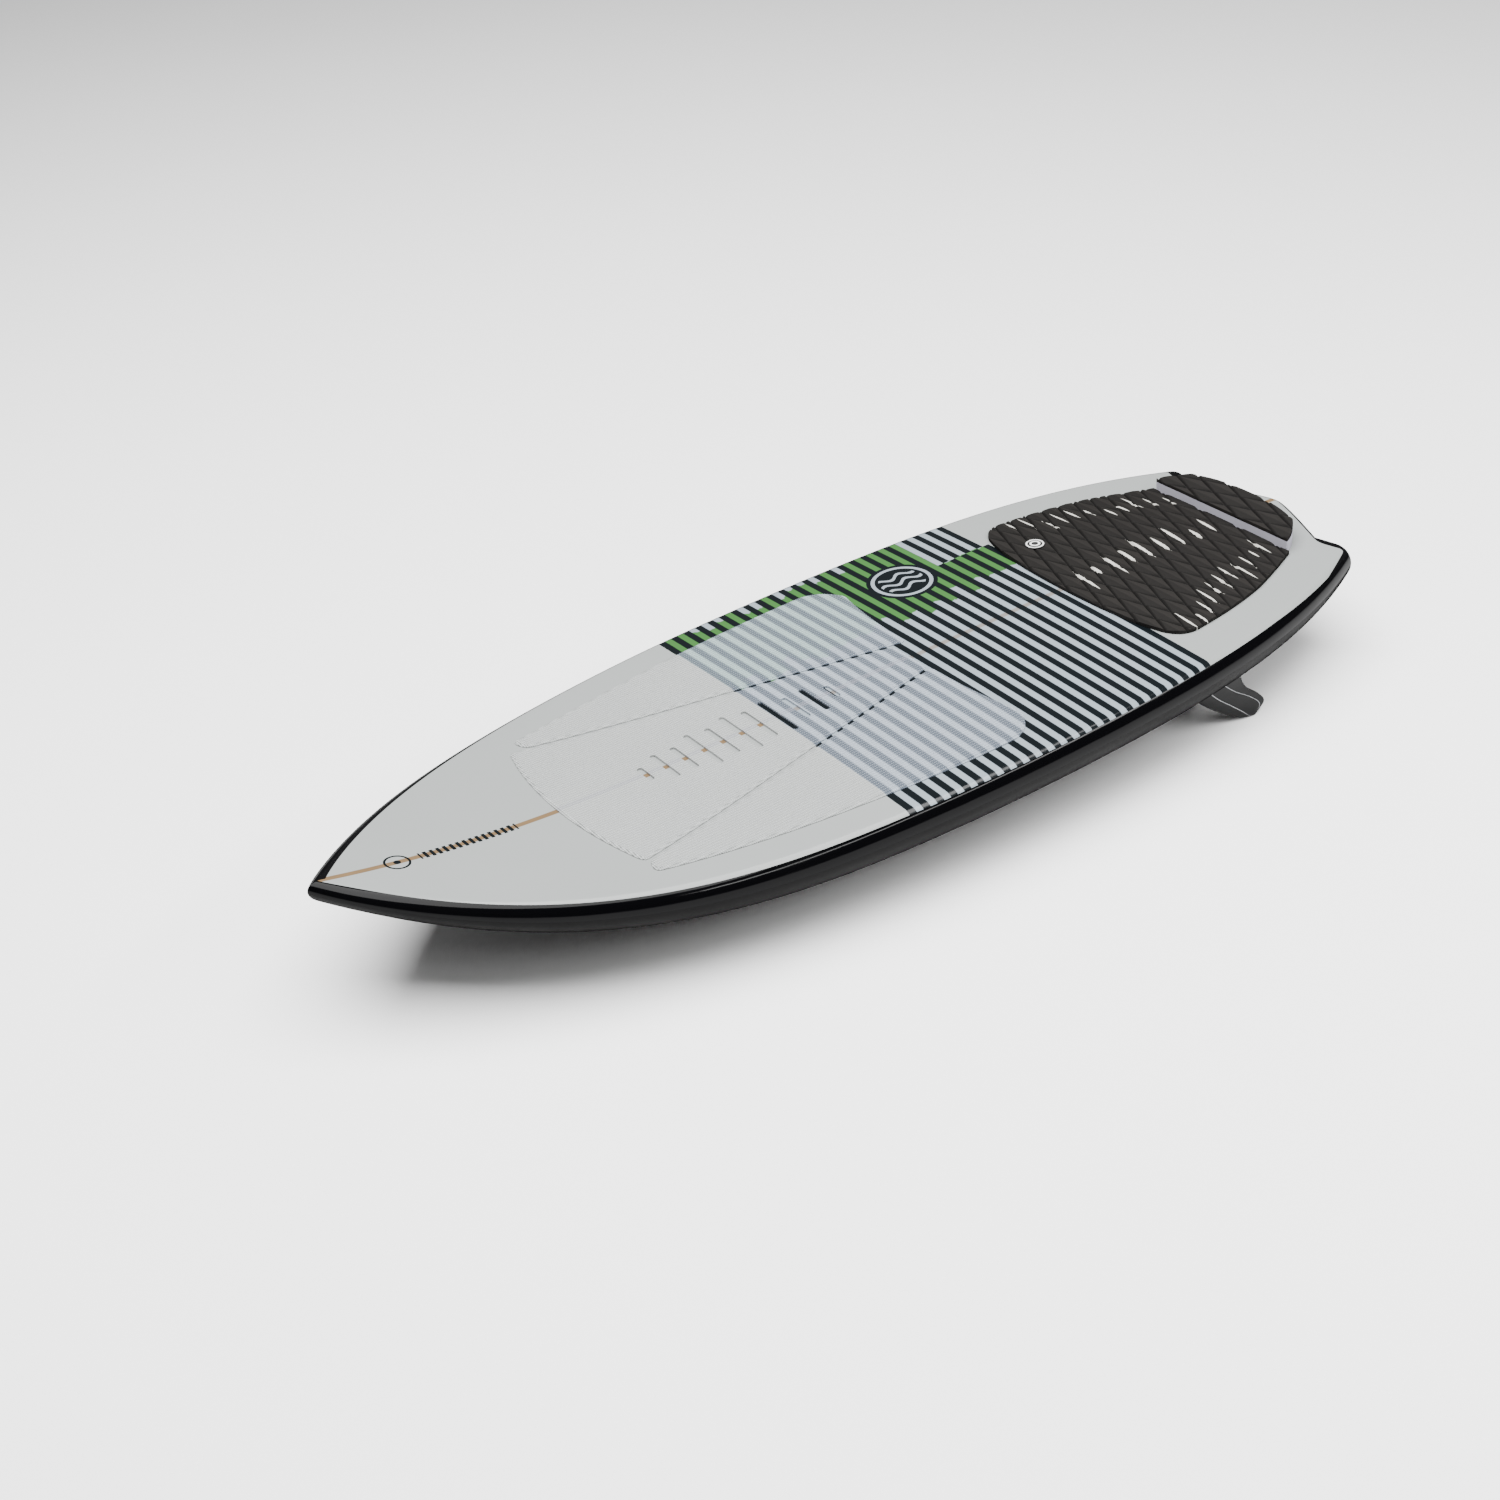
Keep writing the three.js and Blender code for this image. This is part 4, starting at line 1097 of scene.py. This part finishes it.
class BOARD_OT_front_pads(bpy.types.Operator):
    """Builds the two wings and the slotted centre panel of the front pad"""

    bl_idname = "board.front_pads"
    bl_label = "Front pads"

    REAR = 0.644
    FRONT = 1.158
    BOW = 0.023
    SPLIT_REAR = 0.036
    SPLIT_FRONT = 0.150
    SLOT_LENGTHS = (0.032, 0.060, 0.056, 0.080, 0.070, 0.088, 0.072, 0.080, 0.056, 0.060, 0.030)
    SLOT_FIRST = 1.0375
    SLOT_PITCH = 0.0272
    RIGHT_SHIFT = np.array([-0.017, 0.004])
    CORNER_RADIUS = 0.009
    WING_SET_BACK = 0.004

    def split_y(self, x):
        """The line between a wing and the centre panel."""
        share = (x - self.REAR) / (self.FRONT - self.BOW - self.REAR)
        return self.SPLIT_REAR + (self.SPLIT_FRONT - self.SPLIT_REAR) * share

    def rim(self, height):
        """A pressed rim: rounded outer edge, a lower border, then the step up to the hatched field."""
        border = height * 0.62
        return [(0, 0.0004), (0, border * 0.5), (0.0003, border * 0.86), (0.0008, border),
                (0.0024, border), (0.0029, border * 1.2), (0.0034, height * 0.96), (0.0040, height)]

    def execute(self, context):
        sizes = context.scene.pad_sizes
        material = front_pad_finish(context.scene.board_colours)
        half = sizes.front_split / 2
        rim = self.rim(sizes.front_height)
        rear, front = self.REAR, self.FRONT
        bow_y = np.linspace(-1, 1, 17) * (self.SPLIT_FRONT - half)
        bow = np.stack([front - self.BOW * (bow_y / self.SPLIT_FRONT) ** 2, bow_y], 1)
        rear_y = self.split_y(rear) - half
        panel = np.concatenate([[[rear, rear_y], [rear, -rear_y]], bow])
        panel = round_at(panel, (0, 1, 2, len(panel) - 1), self.CORNER_RADIUS)
        centre = deck_mat("front_pad_centre_grip", panel, rim, 0.0002)
        slots = []
        for i, length in enumerate(self.SLOT_LENGTHS):
            x = self.SLOT_FIRST - i * self.SLOT_PITCH - MIDDLE
            outline = rounded_bar(length, sizes.slot_width, 10)[:, ::-1] + np.array([x, 0])
            slots.append(prism(f"slot_{i}", outline, LIFT, LIFT + 0.4))
        boolean(centre, "DIFFERENCE", *slots)
        inner = front - self.BOW - self.WING_SET_BACK
        toe = (rear - 0.003, self.split_y(rear) + half)
        wing = np.concatenate([
            [[inner, self.split_y(inner) + half]],
            curve_through((1.137, 0.172), (0.910, 0.224), (0.672, 0.227), 24),
            curve_through((0.672, 0.227), (0.638, 0.224), (0.624, 0.186), 12),
            curve_through((0.624, 0.186), (0.640, 0.118), toe, 12),
            [toe],
        ])
        wing = round_at(wing, (0, 1, len(wing) - 1), self.CORNER_RADIUS, 0.48)
        left = deck_mat("front_pad_left_grip", wing, rim, 0.0002)
        right = deck_mat("front_pad_right_grip", wing * np.array([1, -1]) + self.RIGHT_SHIFT, rim, 0.0002)
        for piece, side in ((centre, "centre"), (left, "left"), (right, "right")):
            piece.data.shade_smooth()
            piece.data.set_sharp_from_angle(angle=math.radians(50))
            dress(piece, material, "board", "front_pad", f"front_pad_{side}")
        return {"FINISHED"}


ROOF_SHARE = 0.45
KICK_FRONT = 0.115
KICK_REAR = 0.062
KICK_FRONT_HEIGHT = 0.020
KICK_REAR_HEIGHT = 0.027
MAT_GAP = 0.0002
TAIL_PAD_GAP = 0.0003


def kick_top(x):
    """Height of the kick's sloping top at x: a straight line between its two heights over the deck."""
    front = deck_line(KICK_FRONT) + KICK_FRONT_HEIGHT
    rear = deck_line(KICK_REAR) + KICK_REAR_HEIGHT
    return LIFT + front + (rear - front) * (KICK_FRONT - x) / (KICK_FRONT - KICK_REAR)


def diamond_slab(name, outline, low, high, sizes, grooved=True):
    """A mat cut to a plan outline. Its plan is a skew grid whose two families of lines are the grooves: a
    point has the coordinates a and b, x is the width times (a + b) / 2 and y the length times (a - b) / 2,
    and its top drops by the groove's depth where a or b is whole, back to nothing half a groove's width
    away. Between the grooves each diamond is a low roof, highest along its long diagonal."""
    width, length = sizes.diamond_width, sizes.diamond_length
    across = width * length / math.hypot(width, length)
    edge = sizes.groove_width / 2 / across
    lowest, highest = outline.min(0), outline.max(0)
    reach = (highest[0] - lowest[0]) / width + (highest[1] - lowest[1]) / length
    centre = (lowest + highest) / 2
    along, aside = centre[0] / width, centre[1] / length
    middle = np.round(np.array([along + aside, along - aside]))
    cells = int(math.ceil(reach / 2)) + 1
    steps = np.array([0, edge * 0.35, edge, 0.25, 0.5, 0.75, 1 - edge, 1 - edge * 0.35])
    line = (np.arange(-cells, cells)[:, None] + steps).ravel()
    a = middle[0] + line[:, None]
    b = middle[1] + line[None, :]
    x = width * (a + b) / 2
    y = length * (a - b) / 2
    drop = np.zeros_like(x)
    if grooved:
        for family in (a, b):
            away = np.abs(family - np.round(family))
            drop = np.maximum(drop, np.clip(1 - away / edge, 0, 1) ** 0.8 + 0 * x)
        roof = np.abs((a + b) - np.floor(a) - np.floor(b) - 1)
        drop = np.maximum(drop, ROOF_SHARE * roof)
    top = np.dstack([x, y, high(x, y) - drop * sizes.groove_depth])
    base = np.dstack([x, y, low(x, y)])
    count = len(line)
    faces = grid_faces(count, count, closed=False)
    ring = np.concatenate([
        np.arange(count), np.arange(2, count + 1) * count - 1,
        count * count - 2 - np.arange(count - 1), np.arange(count - 2, 0, -1) * count,
    ])
    following = np.roll(ring, -1)
    sides = np.stack([ring, following, following + count * count, ring + count * count], -1)
    everything = np.concatenate([faces, faces[:, ::-1] + count * count, sides])
    piece = new_piece(name, np.concatenate([top.reshape(-1, 3), base.reshape(-1, 3)]), everything)
    boolean(piece, "INTERSECT", prism(name + "_plan", outline, LIFT - 0.1, LIFT + 0.3))
    place(piece, Matrix.Translation((-MIDDLE, 0, 0)))
    piece.data.shade_smooth()
    piece.data.set_sharp_from_angle(angle=math.radians(25))
    return piece


def both_sides(half):
    """A closed outline from its left half, which starts and ends on or near the centreline."""
    return np.concatenate([half, half[::-1] * np.array([1, -1])])


class BOARD_OT_tail_pad(bpy.types.Operator):
    """Builds the grooved tail pad, the kick with its pale riser, and the ring badge"""

    bl_idname = "board.tail_pad"
    bl_label = "Tail pad and kick"

    BADGE = (0.344, -0.111)
    BADGE_RADIUS = 0.014

    def execute(self, context):
        sizes = context.scene.pad_sizes
        colours = context.scene.board_colours
        grip = grip_foam_finish(colours)
        heel = (KICK_FRONT + TAIL_PAD_GAP, 0.127)
        half = np.concatenate([
            curve_through((0.396, 0.0), (0.396, 0.110), (0.376, 0.166), 14)[1:],
            curve_through((0.376, 0.166), (0.364, 0.192), (0.338, 0.190), 12),
            curve_through((0.338, 0.190), (0.262, 0.183), (0.205, 0.165), 14),
            curve_through((0.205, 0.165), (0.160, 0.148), heel, 10),
            [heel],
        ])

        def ground(x, y):
            return deck_height(x, y) + MAT_GAP

        def pad_top(x, y):
            return deck_height(x, y) + sizes.tail_height + TAIL_PAD_GAP

        def cover_base(x, y):
            return kick_top(x) - sizes.tail_height

        def cover_top(x, y):
            return kick_top(x)

        def wedge_top(x, y):
            return cover_base(x, y) - MAT_GAP

        pad = diamond_slab("tail_pad_grip", both_sides(half), ground, pad_top, sizes)
        dress(pad, grip, "board", "tail_pad", "tail_pad")
        half = np.concatenate([
            curve_through((KICK_FRONT, 0.122), (0.096, 0.116), (0.076, 0.094), 12),
            curve_through((0.076, 0.094), (KICK_REAR, 0.055), (KICK_REAR, 0.0), 12),
        ])
        cover = diamond_slab("kick_cover_grip", both_sides(half), cover_base, cover_top, sizes)
        dress(cover, grip, "board", "tail_pad", "kick_cover")
        wedge = diamond_slab("kick_riser", both_sides(half), ground, wedge_top, sizes, grooved=False)
        dress(wedge, riser_finish(colours), "board", "kick_foam", "kick_wedge")
        self.badge(sizes)
        return {"FINISHED"}

    def badge(self, sizes):
        x, y = self.BADGE
        r = self.BADGE_RADIUS
        rise = 0.0008
        low = rise * 0.6
        profile = [(0, 0), (r, 0), (r, low), (r - 0.0003, rise), (r * 0.91, rise)]
        profile += [(r * 0.89, low), (r * 0.70, low), (r * 0.68, rise), (0, rise)]
        disc = lathe("badge_ring", profile, 64)
        height = float(deck_height(x, y)) + sizes.tail_height + 0.0004
        slope = math.atan(float(deck_line(x + 0.001) - deck_line(x - 0.001)) / 0.002)
        side = math.atan(2 * DECK_CROWN * y / HALF_WIDTH ** 2)
        lie = Matrix.Rotation(-slope, 4, "Y") @ Matrix.Rotation(-side, 4, "X")
        place(disc, Matrix.Translation((x - MIDDLE, y, height)) @ lie)
        disc.data.set_sharp_from_angle(angle=math.radians(40))
        dress(disc, badge_finish(x - MIDDLE, y, r), "board", "badge", "pad_badge")


# ---- Fins, boxes and screws ----

LEADING_EDGE = ((0.5, 0), (0.3, 0.25), (0.08, 0.5), (-0.24, 0.78), (-0.55, 0.96), (-0.72, 1))
TRAILING_EDGE = ((-0.5, 0), (-0.52, 0.25), (-0.58, 0.45), (-0.78, 0.66), (-0.88, 0.84), (-0.72, 1))
ROOT_CLEARANCE = 0.0007
TAB_LENGTH = 0.026
TAB_THICKNESS = 0.006
TAB_DEPTH = 0.014
TAB_END_GAP = 0.001
TAB_PLACES = (0.029, -0.029)
SLIDE_GAP = 0.00035
BOX_LENGTH = 0.116
BOX_WIDTH = 0.032
BOX_DEPTH = 0.020
SCREW_RADIUS = 0.00225
SCREW_LENGTH = 0.007
SCREW_TILT = math.radians(35)
SCREW_REACH = 0.0072
SCREW_END_Y = TAB_THICKNESS / 2 + SLIDE_GAP + SCREW_RADIUS * math.cos(SCREW_TILT)
HEX_RADIUS = 0.0014
HEX_DEPTH = 0.0025


def block(name, size, centre, bevel=0.0):
    """A box with its edges rounded by a bevel, made from its eight corners."""
    corners = np.stack(np.meshgrid([-0.5, 0.5], [-0.5, 0.5], [-0.5, 0.5], indexing="ij"), -1).reshape(-1, 3)
    faces = [(0, 1, 3, 2), (4, 6, 7, 5), (0, 4, 5, 1), (2, 3, 7, 6), (0, 2, 6, 4), (1, 5, 7, 3)]
    piece = new_piece(name, corners * np.array(size) + np.array(centre), faces)
    if bevel:
        soften(piece, bevel)
    return piece


def soften(piece, width, angle=40):
    """Rounds the piece's sharp edges a little."""
    bevel = piece.modifiers.new("edges", "BEVEL")
    bevel.width = width
    bevel.segments = 2
    bevel.limit_method = "ANGLE"
    bevel.angle_limit = math.radians(angle)
    return settle(piece, math.radians(35))


class FinPlace:
    """Where a fin sits: a frame on the bottom, x forward along the fin and z up into the board."""

    def __init__(self, name, x, y, toe, cant, screw_side, outer_share):
        step = 0.001
        pitch = math.atan2(float(bottom_line(x + step) - bottom_line(x - step)), 2 * step)
        self.name = name
        self.base = (
            Matrix.Translation((x - MIDDLE, y, float(bottom_line(x)) + LIFT))
            @ Matrix.Rotation(-pitch, 4, "Y")
            @ Matrix.Rotation(toe, 4, "Z")
        )
        self.frame = self.base @ Matrix.Rotation(cant, 4, "X")
        self.screw_side = screw_side
        self.outer_share = outer_share

    def pocket(self):
        """The solid that clears the box in the bottom skin."""
        outline = rounded_bar(BOX_LENGTH + 0.0004, BOX_WIDTH + 0.0004)
        return place(prism("pocket_" + self.name, outline, -0.02, BOX_DEPTH), self.base)

    def screw_frame(self, x):
        """A screw's frame, z from its socket to its point."""
        side = self.screw_side
        return (
            self.frame
            @ Matrix.Translation((x, side * SCREW_END_Y, SCREW_REACH))
            @ Matrix.Rotation(side * SCREW_TILT, 4, "X")
            @ Matrix.Translation((0, 0, -SCREW_LENGTH))
        )


SIDE_FIN_X = 0.343
SIDE_FIN_Y = float(half_width(SIDE_FIN_X)) - 0.046
TOE = math.radians(3)
CANT = math.radians(5)
FINS = (
    FinPlace("left", SIDE_FIN_X, SIDE_FIN_Y, -TOE, CANT, -1, 0.8),
    FinPlace("right", SIDE_FIN_X, -SIDE_FIN_Y, TOE, -CANT, 1, 0.2),
    FinPlace("centre", 0.140, 0.0, 0.0, 0.0, 1, 0.5),
)


def smooth_edge(points, steps):
    """A curve through the points, each stretch a cubic whose ends turn towards the points on both sides."""
    points = np.array(points, float)
    padded = np.concatenate([points[:1], points, points[-1:]])
    t = np.linspace(0, len(points) - 1, steps)
    i = np.minimum(t.astype(int), len(points) - 2)
    w = (t - i)[:, None]
    p0, p1, p2, p3 = padded[i], padded[i + 1], padded[i + 2], padded[i + 3]
    out, back = (p2 - p0) / 2, (p3 - p1) / 2
    cubic = (2 * p1 - 2 * p2 + out + back) * w ** 3 + (-3 * p1 + 3 * p2 - 2 * out - back) * w ** 2
    return cubic + out * w + p1


class BOARD_OT_fins(bpy.types.Operator):
    """Builds the three foiled fins with their tabs, the boxes and the grub screws"""

    bl_idname = "board.fins"
    bl_label = "Fins, boxes and screws"

    SPANS = 56
    ROUND = 30

    def execute(self, context):
        sizes = context.scene.fin_sizes
        colours = context.scene.board_colours
        blade_finish = fin_finish(colours)
        box_finish = moulded_finish("fin_box_plastic", (0.018, 0.018, 0.020), 0.5)
        steel = steel_finish()
        for fin in FINS:
            blade = place(self.blade(fin, sizes), fin.frame)
            dress(blade, blade_finish, f"fin_{fin.name}", "fin", f"fin_{fin.name}")
            holder = self.box(fin)
            dress(holder, box_finish, "board", "fin_box", f"fin_box_{fin.name}")
            for x, end in zip(TAB_PLACES, ("front", "rear")):
                screw = place(self.screw(f"grub_screw_{fin.name}_{end}", sizes), fin.screw_frame(x))
                node = f"screw_{fin.name}_{end}"
                dress(screw, steel, node, "screw_steel", node)
        return {"FINISHED"}

    def blade(self, fin, sizes):
        """A foil whose chord shrinks from root to tip. At a share v of the chord the half thickness is the
        root of v times (1 - v), full near the front and thin behind, and it thins with the chord;
        outer_share of it lies on the +y side. The root and the tip are closed."""
        scale = np.array([sizes.base, -sizes.depth])
        leading = smooth_edge(LEADING_EDGE, self.SPANS) * scale
        trailing = smooth_edge(TRAILING_EDGE, self.SPANS) * scale
        turn = (1 - np.cos(np.linspace(0, math.pi, self.ROUND))) / 2
        v = np.concatenate([turn, turn[-2:0:-1]])
        share = fin.outer_share
        side = np.concatenate([np.full(self.ROUND, share), np.full(self.ROUND - 2, share - 1)])
        chord = np.hypot(*(leading - trailing).T)[:, None] / sizes.base
        fullness = 2.6 * np.sqrt(v) * (1 - v) * np.sqrt(chord)
        along = leading[:, None] + (trailing - leading)[:, None] * v[:, None]
        points = np.dstack([along[..., 0], fullness * sizes.foil * side, along[..., 1] - ROOT_CLEARANCE])
        count = len(v)
        faces = grid_faces(self.SPANS, count, closed=False)
        seam = np.arange(self.SPANS - 1) * count
        closing = np.stack([seam + count - 1, seam + 2 * count - 1, seam + count, seam], -1)
        faces = np.concatenate([faces, closing])
        faces = [*faces, np.arange(count)]
        piece = new_piece(f"fin_{fin.name}_blade", points, faces)
        tabs = []
        for i, x in enumerate(TAB_PLACES):
            height = TAB_DEPTH + ROOT_CLEARANCE + 0.0015
            centre = (x, 0, TAB_DEPTH - height / 2)
            tabs.append(block(f"tab_{i}", (TAB_LENGTH, TAB_THICKNESS, height), centre, 0.0004))
        boolean(piece, "UNION", *tabs)
        piece.data.shade_smooth()
        piece.data.set_sharp_from_angle(angle=math.radians(45))
        self.chart(piece.data, leading, trailing)
        return piece

    def chart(self, mesh, leading, trailing):
        """Stores the share of the chord and the share of the depth of each point as the map named blade."""
        for layer in list(mesh.uv_layers):
            mesh.uv_layers.remove(layer)
        layer = mesh.uv_layers.new(name="blade")
        points = np.zeros(len(mesh.vertices) * 3)
        mesh.vertices.foreach_get("co", points)
        x, _, z = points.reshape(-1, 3).T
        z = z + ROOT_CLEARANCE
        front = np.interp(-z, -leading[:, 1], leading[:, 0])
        back = np.interp(-z, -trailing[:, 1], trailing[:, 0])
        share = (front - x) / np.maximum(front - back, 1e-4)
        chart = np.stack([share, z / leading[-1, 1]], 1)
        corners = np.zeros(len(mesh.loops), int)
        mesh.loops.foreach_get("vertex_index", corners)
        layer.data.foreach_set("uv", chart[corners].astype(np.float32).ravel())

    def box(self, fin):
        """The moulded box with its two cavities and the slanted screw holes."""
        plan = rounded_bar(BOX_LENGTH, BOX_WIDTH)
        holder = place(prism(f"fin_box_{fin.name}_body", plan, 0, BOX_DEPTH), fin.base)
        cuts = []
        top = TAB_DEPTH + TAB_END_GAP
        for i, x in enumerate(TAB_PLACES):
            size = (TAB_LENGTH + 2 * SLIDE_GAP, TAB_THICKNESS + 2 * SLIDE_GAP, top + BOX_DEPTH)
            cavity = block(f"cavity_{i}", size, (x, 0, top - size[2] / 2), 0.0006)
            cuts.append(place(cavity, fin.frame))
            radius = SCREW_RADIUS + SLIDE_GAP
            reach = SCREW_LENGTH
            profile = [(0, -reach), (radius, -reach), (radius, reach + 0.0004), (0, reach + 0.0004)]
            cuts.append(place(lathe(f"hole_{i}", profile, 32), fin.screw_frame(x)))
        boolean(holder, "DIFFERENCE", *cuts)
        return soften(holder, 0.00025, 50)

    def screw(self, name, sizes):
        """A grub screw: a thread of V rings at the pitch, a cone point, and a hexagon socket."""
        root = SCREW_RADIUS - sizes.thread_pitch * 0.45
        count = int((SCREW_LENGTH - 0.0012) / sizes.thread_pitch)
        profile = [(0, 0), (root, 0)]
        for i in range(count):
            start = 0.0002 + i * sizes.thread_pitch
            profile += [(root, start), (SCREW_RADIUS, start + sizes.thread_pitch * 0.4),
                        (SCREW_RADIUS, start + sizes.thread_pitch * 0.55)]
        profile.append((root, 0.0002 + count * sizes.thread_pitch))
        profile += [(root * 0.55, SCREW_LENGTH), (0, SCREW_LENGTH)]
        piece = lathe(name, profile, sizes.sides)
        angle = np.arange(6) * math.pi / 3
        hexagon = np.stack([np.cos(angle), np.sin(angle)], 1) * HEX_RADIUS
        boolean(piece, "DIFFERENCE", prism(name + "_socket", hexagon, -0.001, HEX_DEPTH))
        piece.data.shade_smooth()
        piece.data.set_sharp_from_angle(angle=math.radians(30))
        return piece


class BOARD_OT_core(bpy.types.Operator):
    """Gives the hidden foam, stringer and plugs their finishes"""

    bl_idname = "board.core"
    bl_label = "Core"

    def execute(self, context):
        foam = core_finish("core_foam", (0.80, 0.81, 0.76), 700.0)
        plug = core_finish("plug_foam", (0.72, 0.58, 0.28), 1100.0)
        finishes = {"foam_core_left": foam, "foam_core_right": foam, "stringer": wood_finish()}
        finishes.update({f"box_plug_{fin.name}": plug for fin in FINS})
        for node, material in finishes.items():
            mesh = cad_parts[node].data
            mesh.materials.clear()
            mesh.materials.append(material)
        return {"FINISHED"}


class BOARD_OT_stage(bpy.types.Operator):
    """Makes the floor, the lights and the camera"""

    bl_idname = "board.stage"
    bl_label = "Stage"

    CAMERA = (1.47938, 2.06588, 1.64284)
    RIGHT = (-0.81411, 0.57610, -0.07305)
    UP = (-0.35827, -0.39928, 0.84393)
    BACK = (0.45702, 0.71322, 0.53146)
    LENS = 57.934

    def execute(self, context):
        sizes = context.scene.stage_sizes
        edge = np.linspace(-1, 1, 9) * 14.0
        x, y = np.meshgrid(edge, edge, indexing="ij")
        floor = new_piece("floor", np.dstack([x, y, 0 * x]), grid_faces(9, 9, closed=False), closed=False)
        if floor.data.polygons[0].normal.z < 0:
            floor.data.flip_normals()
        floor.data.materials.append(self.floor_finish())
        self.light("key_light", (0.2, 0.2, 3.4), (0, 0, 0), (4.4, 3.6), sizes.key)
        self.light("strip_light", (-0.9, 1.9, 1.6), (0.2, 0.2, 0.1), (2.8, 0.16), sizes.strip)
        world = bpy.data.worlds.new("surroundings")
        world.use_nodes = True
        back = world.node_tree.nodes["Background"]
        back.inputs["Color"].default_value = (1, 1, 1, 1)
        back.inputs["Strength"].default_value = sizes.sky
        context.scene.world = world
        self.camera(context)
        return {"FINISHED"}

    def floor_finish(self):
        material, t, shader, place_ = finish("floor_paint", 0.9, Specular_IOR_Level=0.1)
        low, high = (0.93, 0.93, 0.93, 1), (0.96, 0.96, 0.96, 1)
        t.put(shader["Base Color"], t.mix(t.noise(place_, 1.5, 2.0), low, high))
        backing = t.node("ShaderNodeNewGeometry").outputs["Backfacing"]
        t.put(shader["Alpha"], t.minus(1.0, backing))
        return material

    def light(self, name, place_, aim, size, power):
        data = bpy.data.lights.new(name, "AREA")
        data.shape = "RECTANGLE"
        data.size, data.size_y = size
        data.energy = power
        lamp = bpy.data.objects.new(name, data)
        lamp.location = place_
        lamp.rotation_euler = (Vector(aim) - Vector(place_)).to_track_quat("-Z", "Y").to_euler()
        bpy.context.scene.collection.objects.link(lamp)

    def camera(self, context):
        data = bpy.data.cameras.new("camera")
        data.lens = self.LENS
        data.clip_end = 60
        eye = bpy.data.objects.new("camera", data)
        turn = Matrix((self.RIGHT, self.UP, self.BACK)).transposed().to_4x4()
        eye.matrix_world = Matrix.Translation(self.CAMERA) @ turn
        context.scene.collection.objects.link(eye)
        context.scene.camera = eye


class BOARD_PT_panel(bpy.types.Panel):
    """Lists the steps that build the board"""

    bl_label = "Wakesurf board"
    bl_idname = "BOARD_PT_panel"
    bl_space_type = "VIEW_3D"
    bl_region_type = "UI"
    bl_category = "Board"

    def draw(self, context):
        for operator in OPERATORS:
            self.layout.operator(operator.bl_idname)
        for name in PROPERTIES:
            group = getattr(context.scene, name)
            box = self.layout.box()
            for key in group.bl_rna.properties.keys():
                if key not in ("rna_type", "name"):
                    box.prop(group, key)


OPERATORS = (
    BOARD_OT_stage,
    BOARD_OT_laminate,
    BOARD_OT_front_pads,
    BOARD_OT_tail_pad,
    BOARD_OT_fins,
    BOARD_OT_core,
)
PROPERTIES = {
    "board_colours": BoardColours,
    "pad_sizes": PadSizes,
    "fin_sizes": FinSizes,
    "stage_sizes": StageSizes,
}


def register():
    for cls in (*PROPERTIES.values(), *OPERATORS, BOARD_PT_panel):
        bpy.utils.register_class(cls)
    for name, cls in PROPERTIES.items():
        setattr(bpy.types.Scene, name, PointerProperty(type=cls))


def unregister():
    for name in PROPERTIES:
        delattr(bpy.types.Scene, name)
    for cls in reversed((*PROPERTIES.values(), *OPERATORS, BOARD_PT_panel)):
        bpy.utils.unregister_class(cls)


def main():
    """Builds everything."""
    register()
    for operator in OPERATORS:
        group, name = operator.bl_idname.split(".")
        getattr(getattr(bpy.ops, group), name)()
    bpy.context.view_layer.update()


if __name__ == "__main__":
    main()
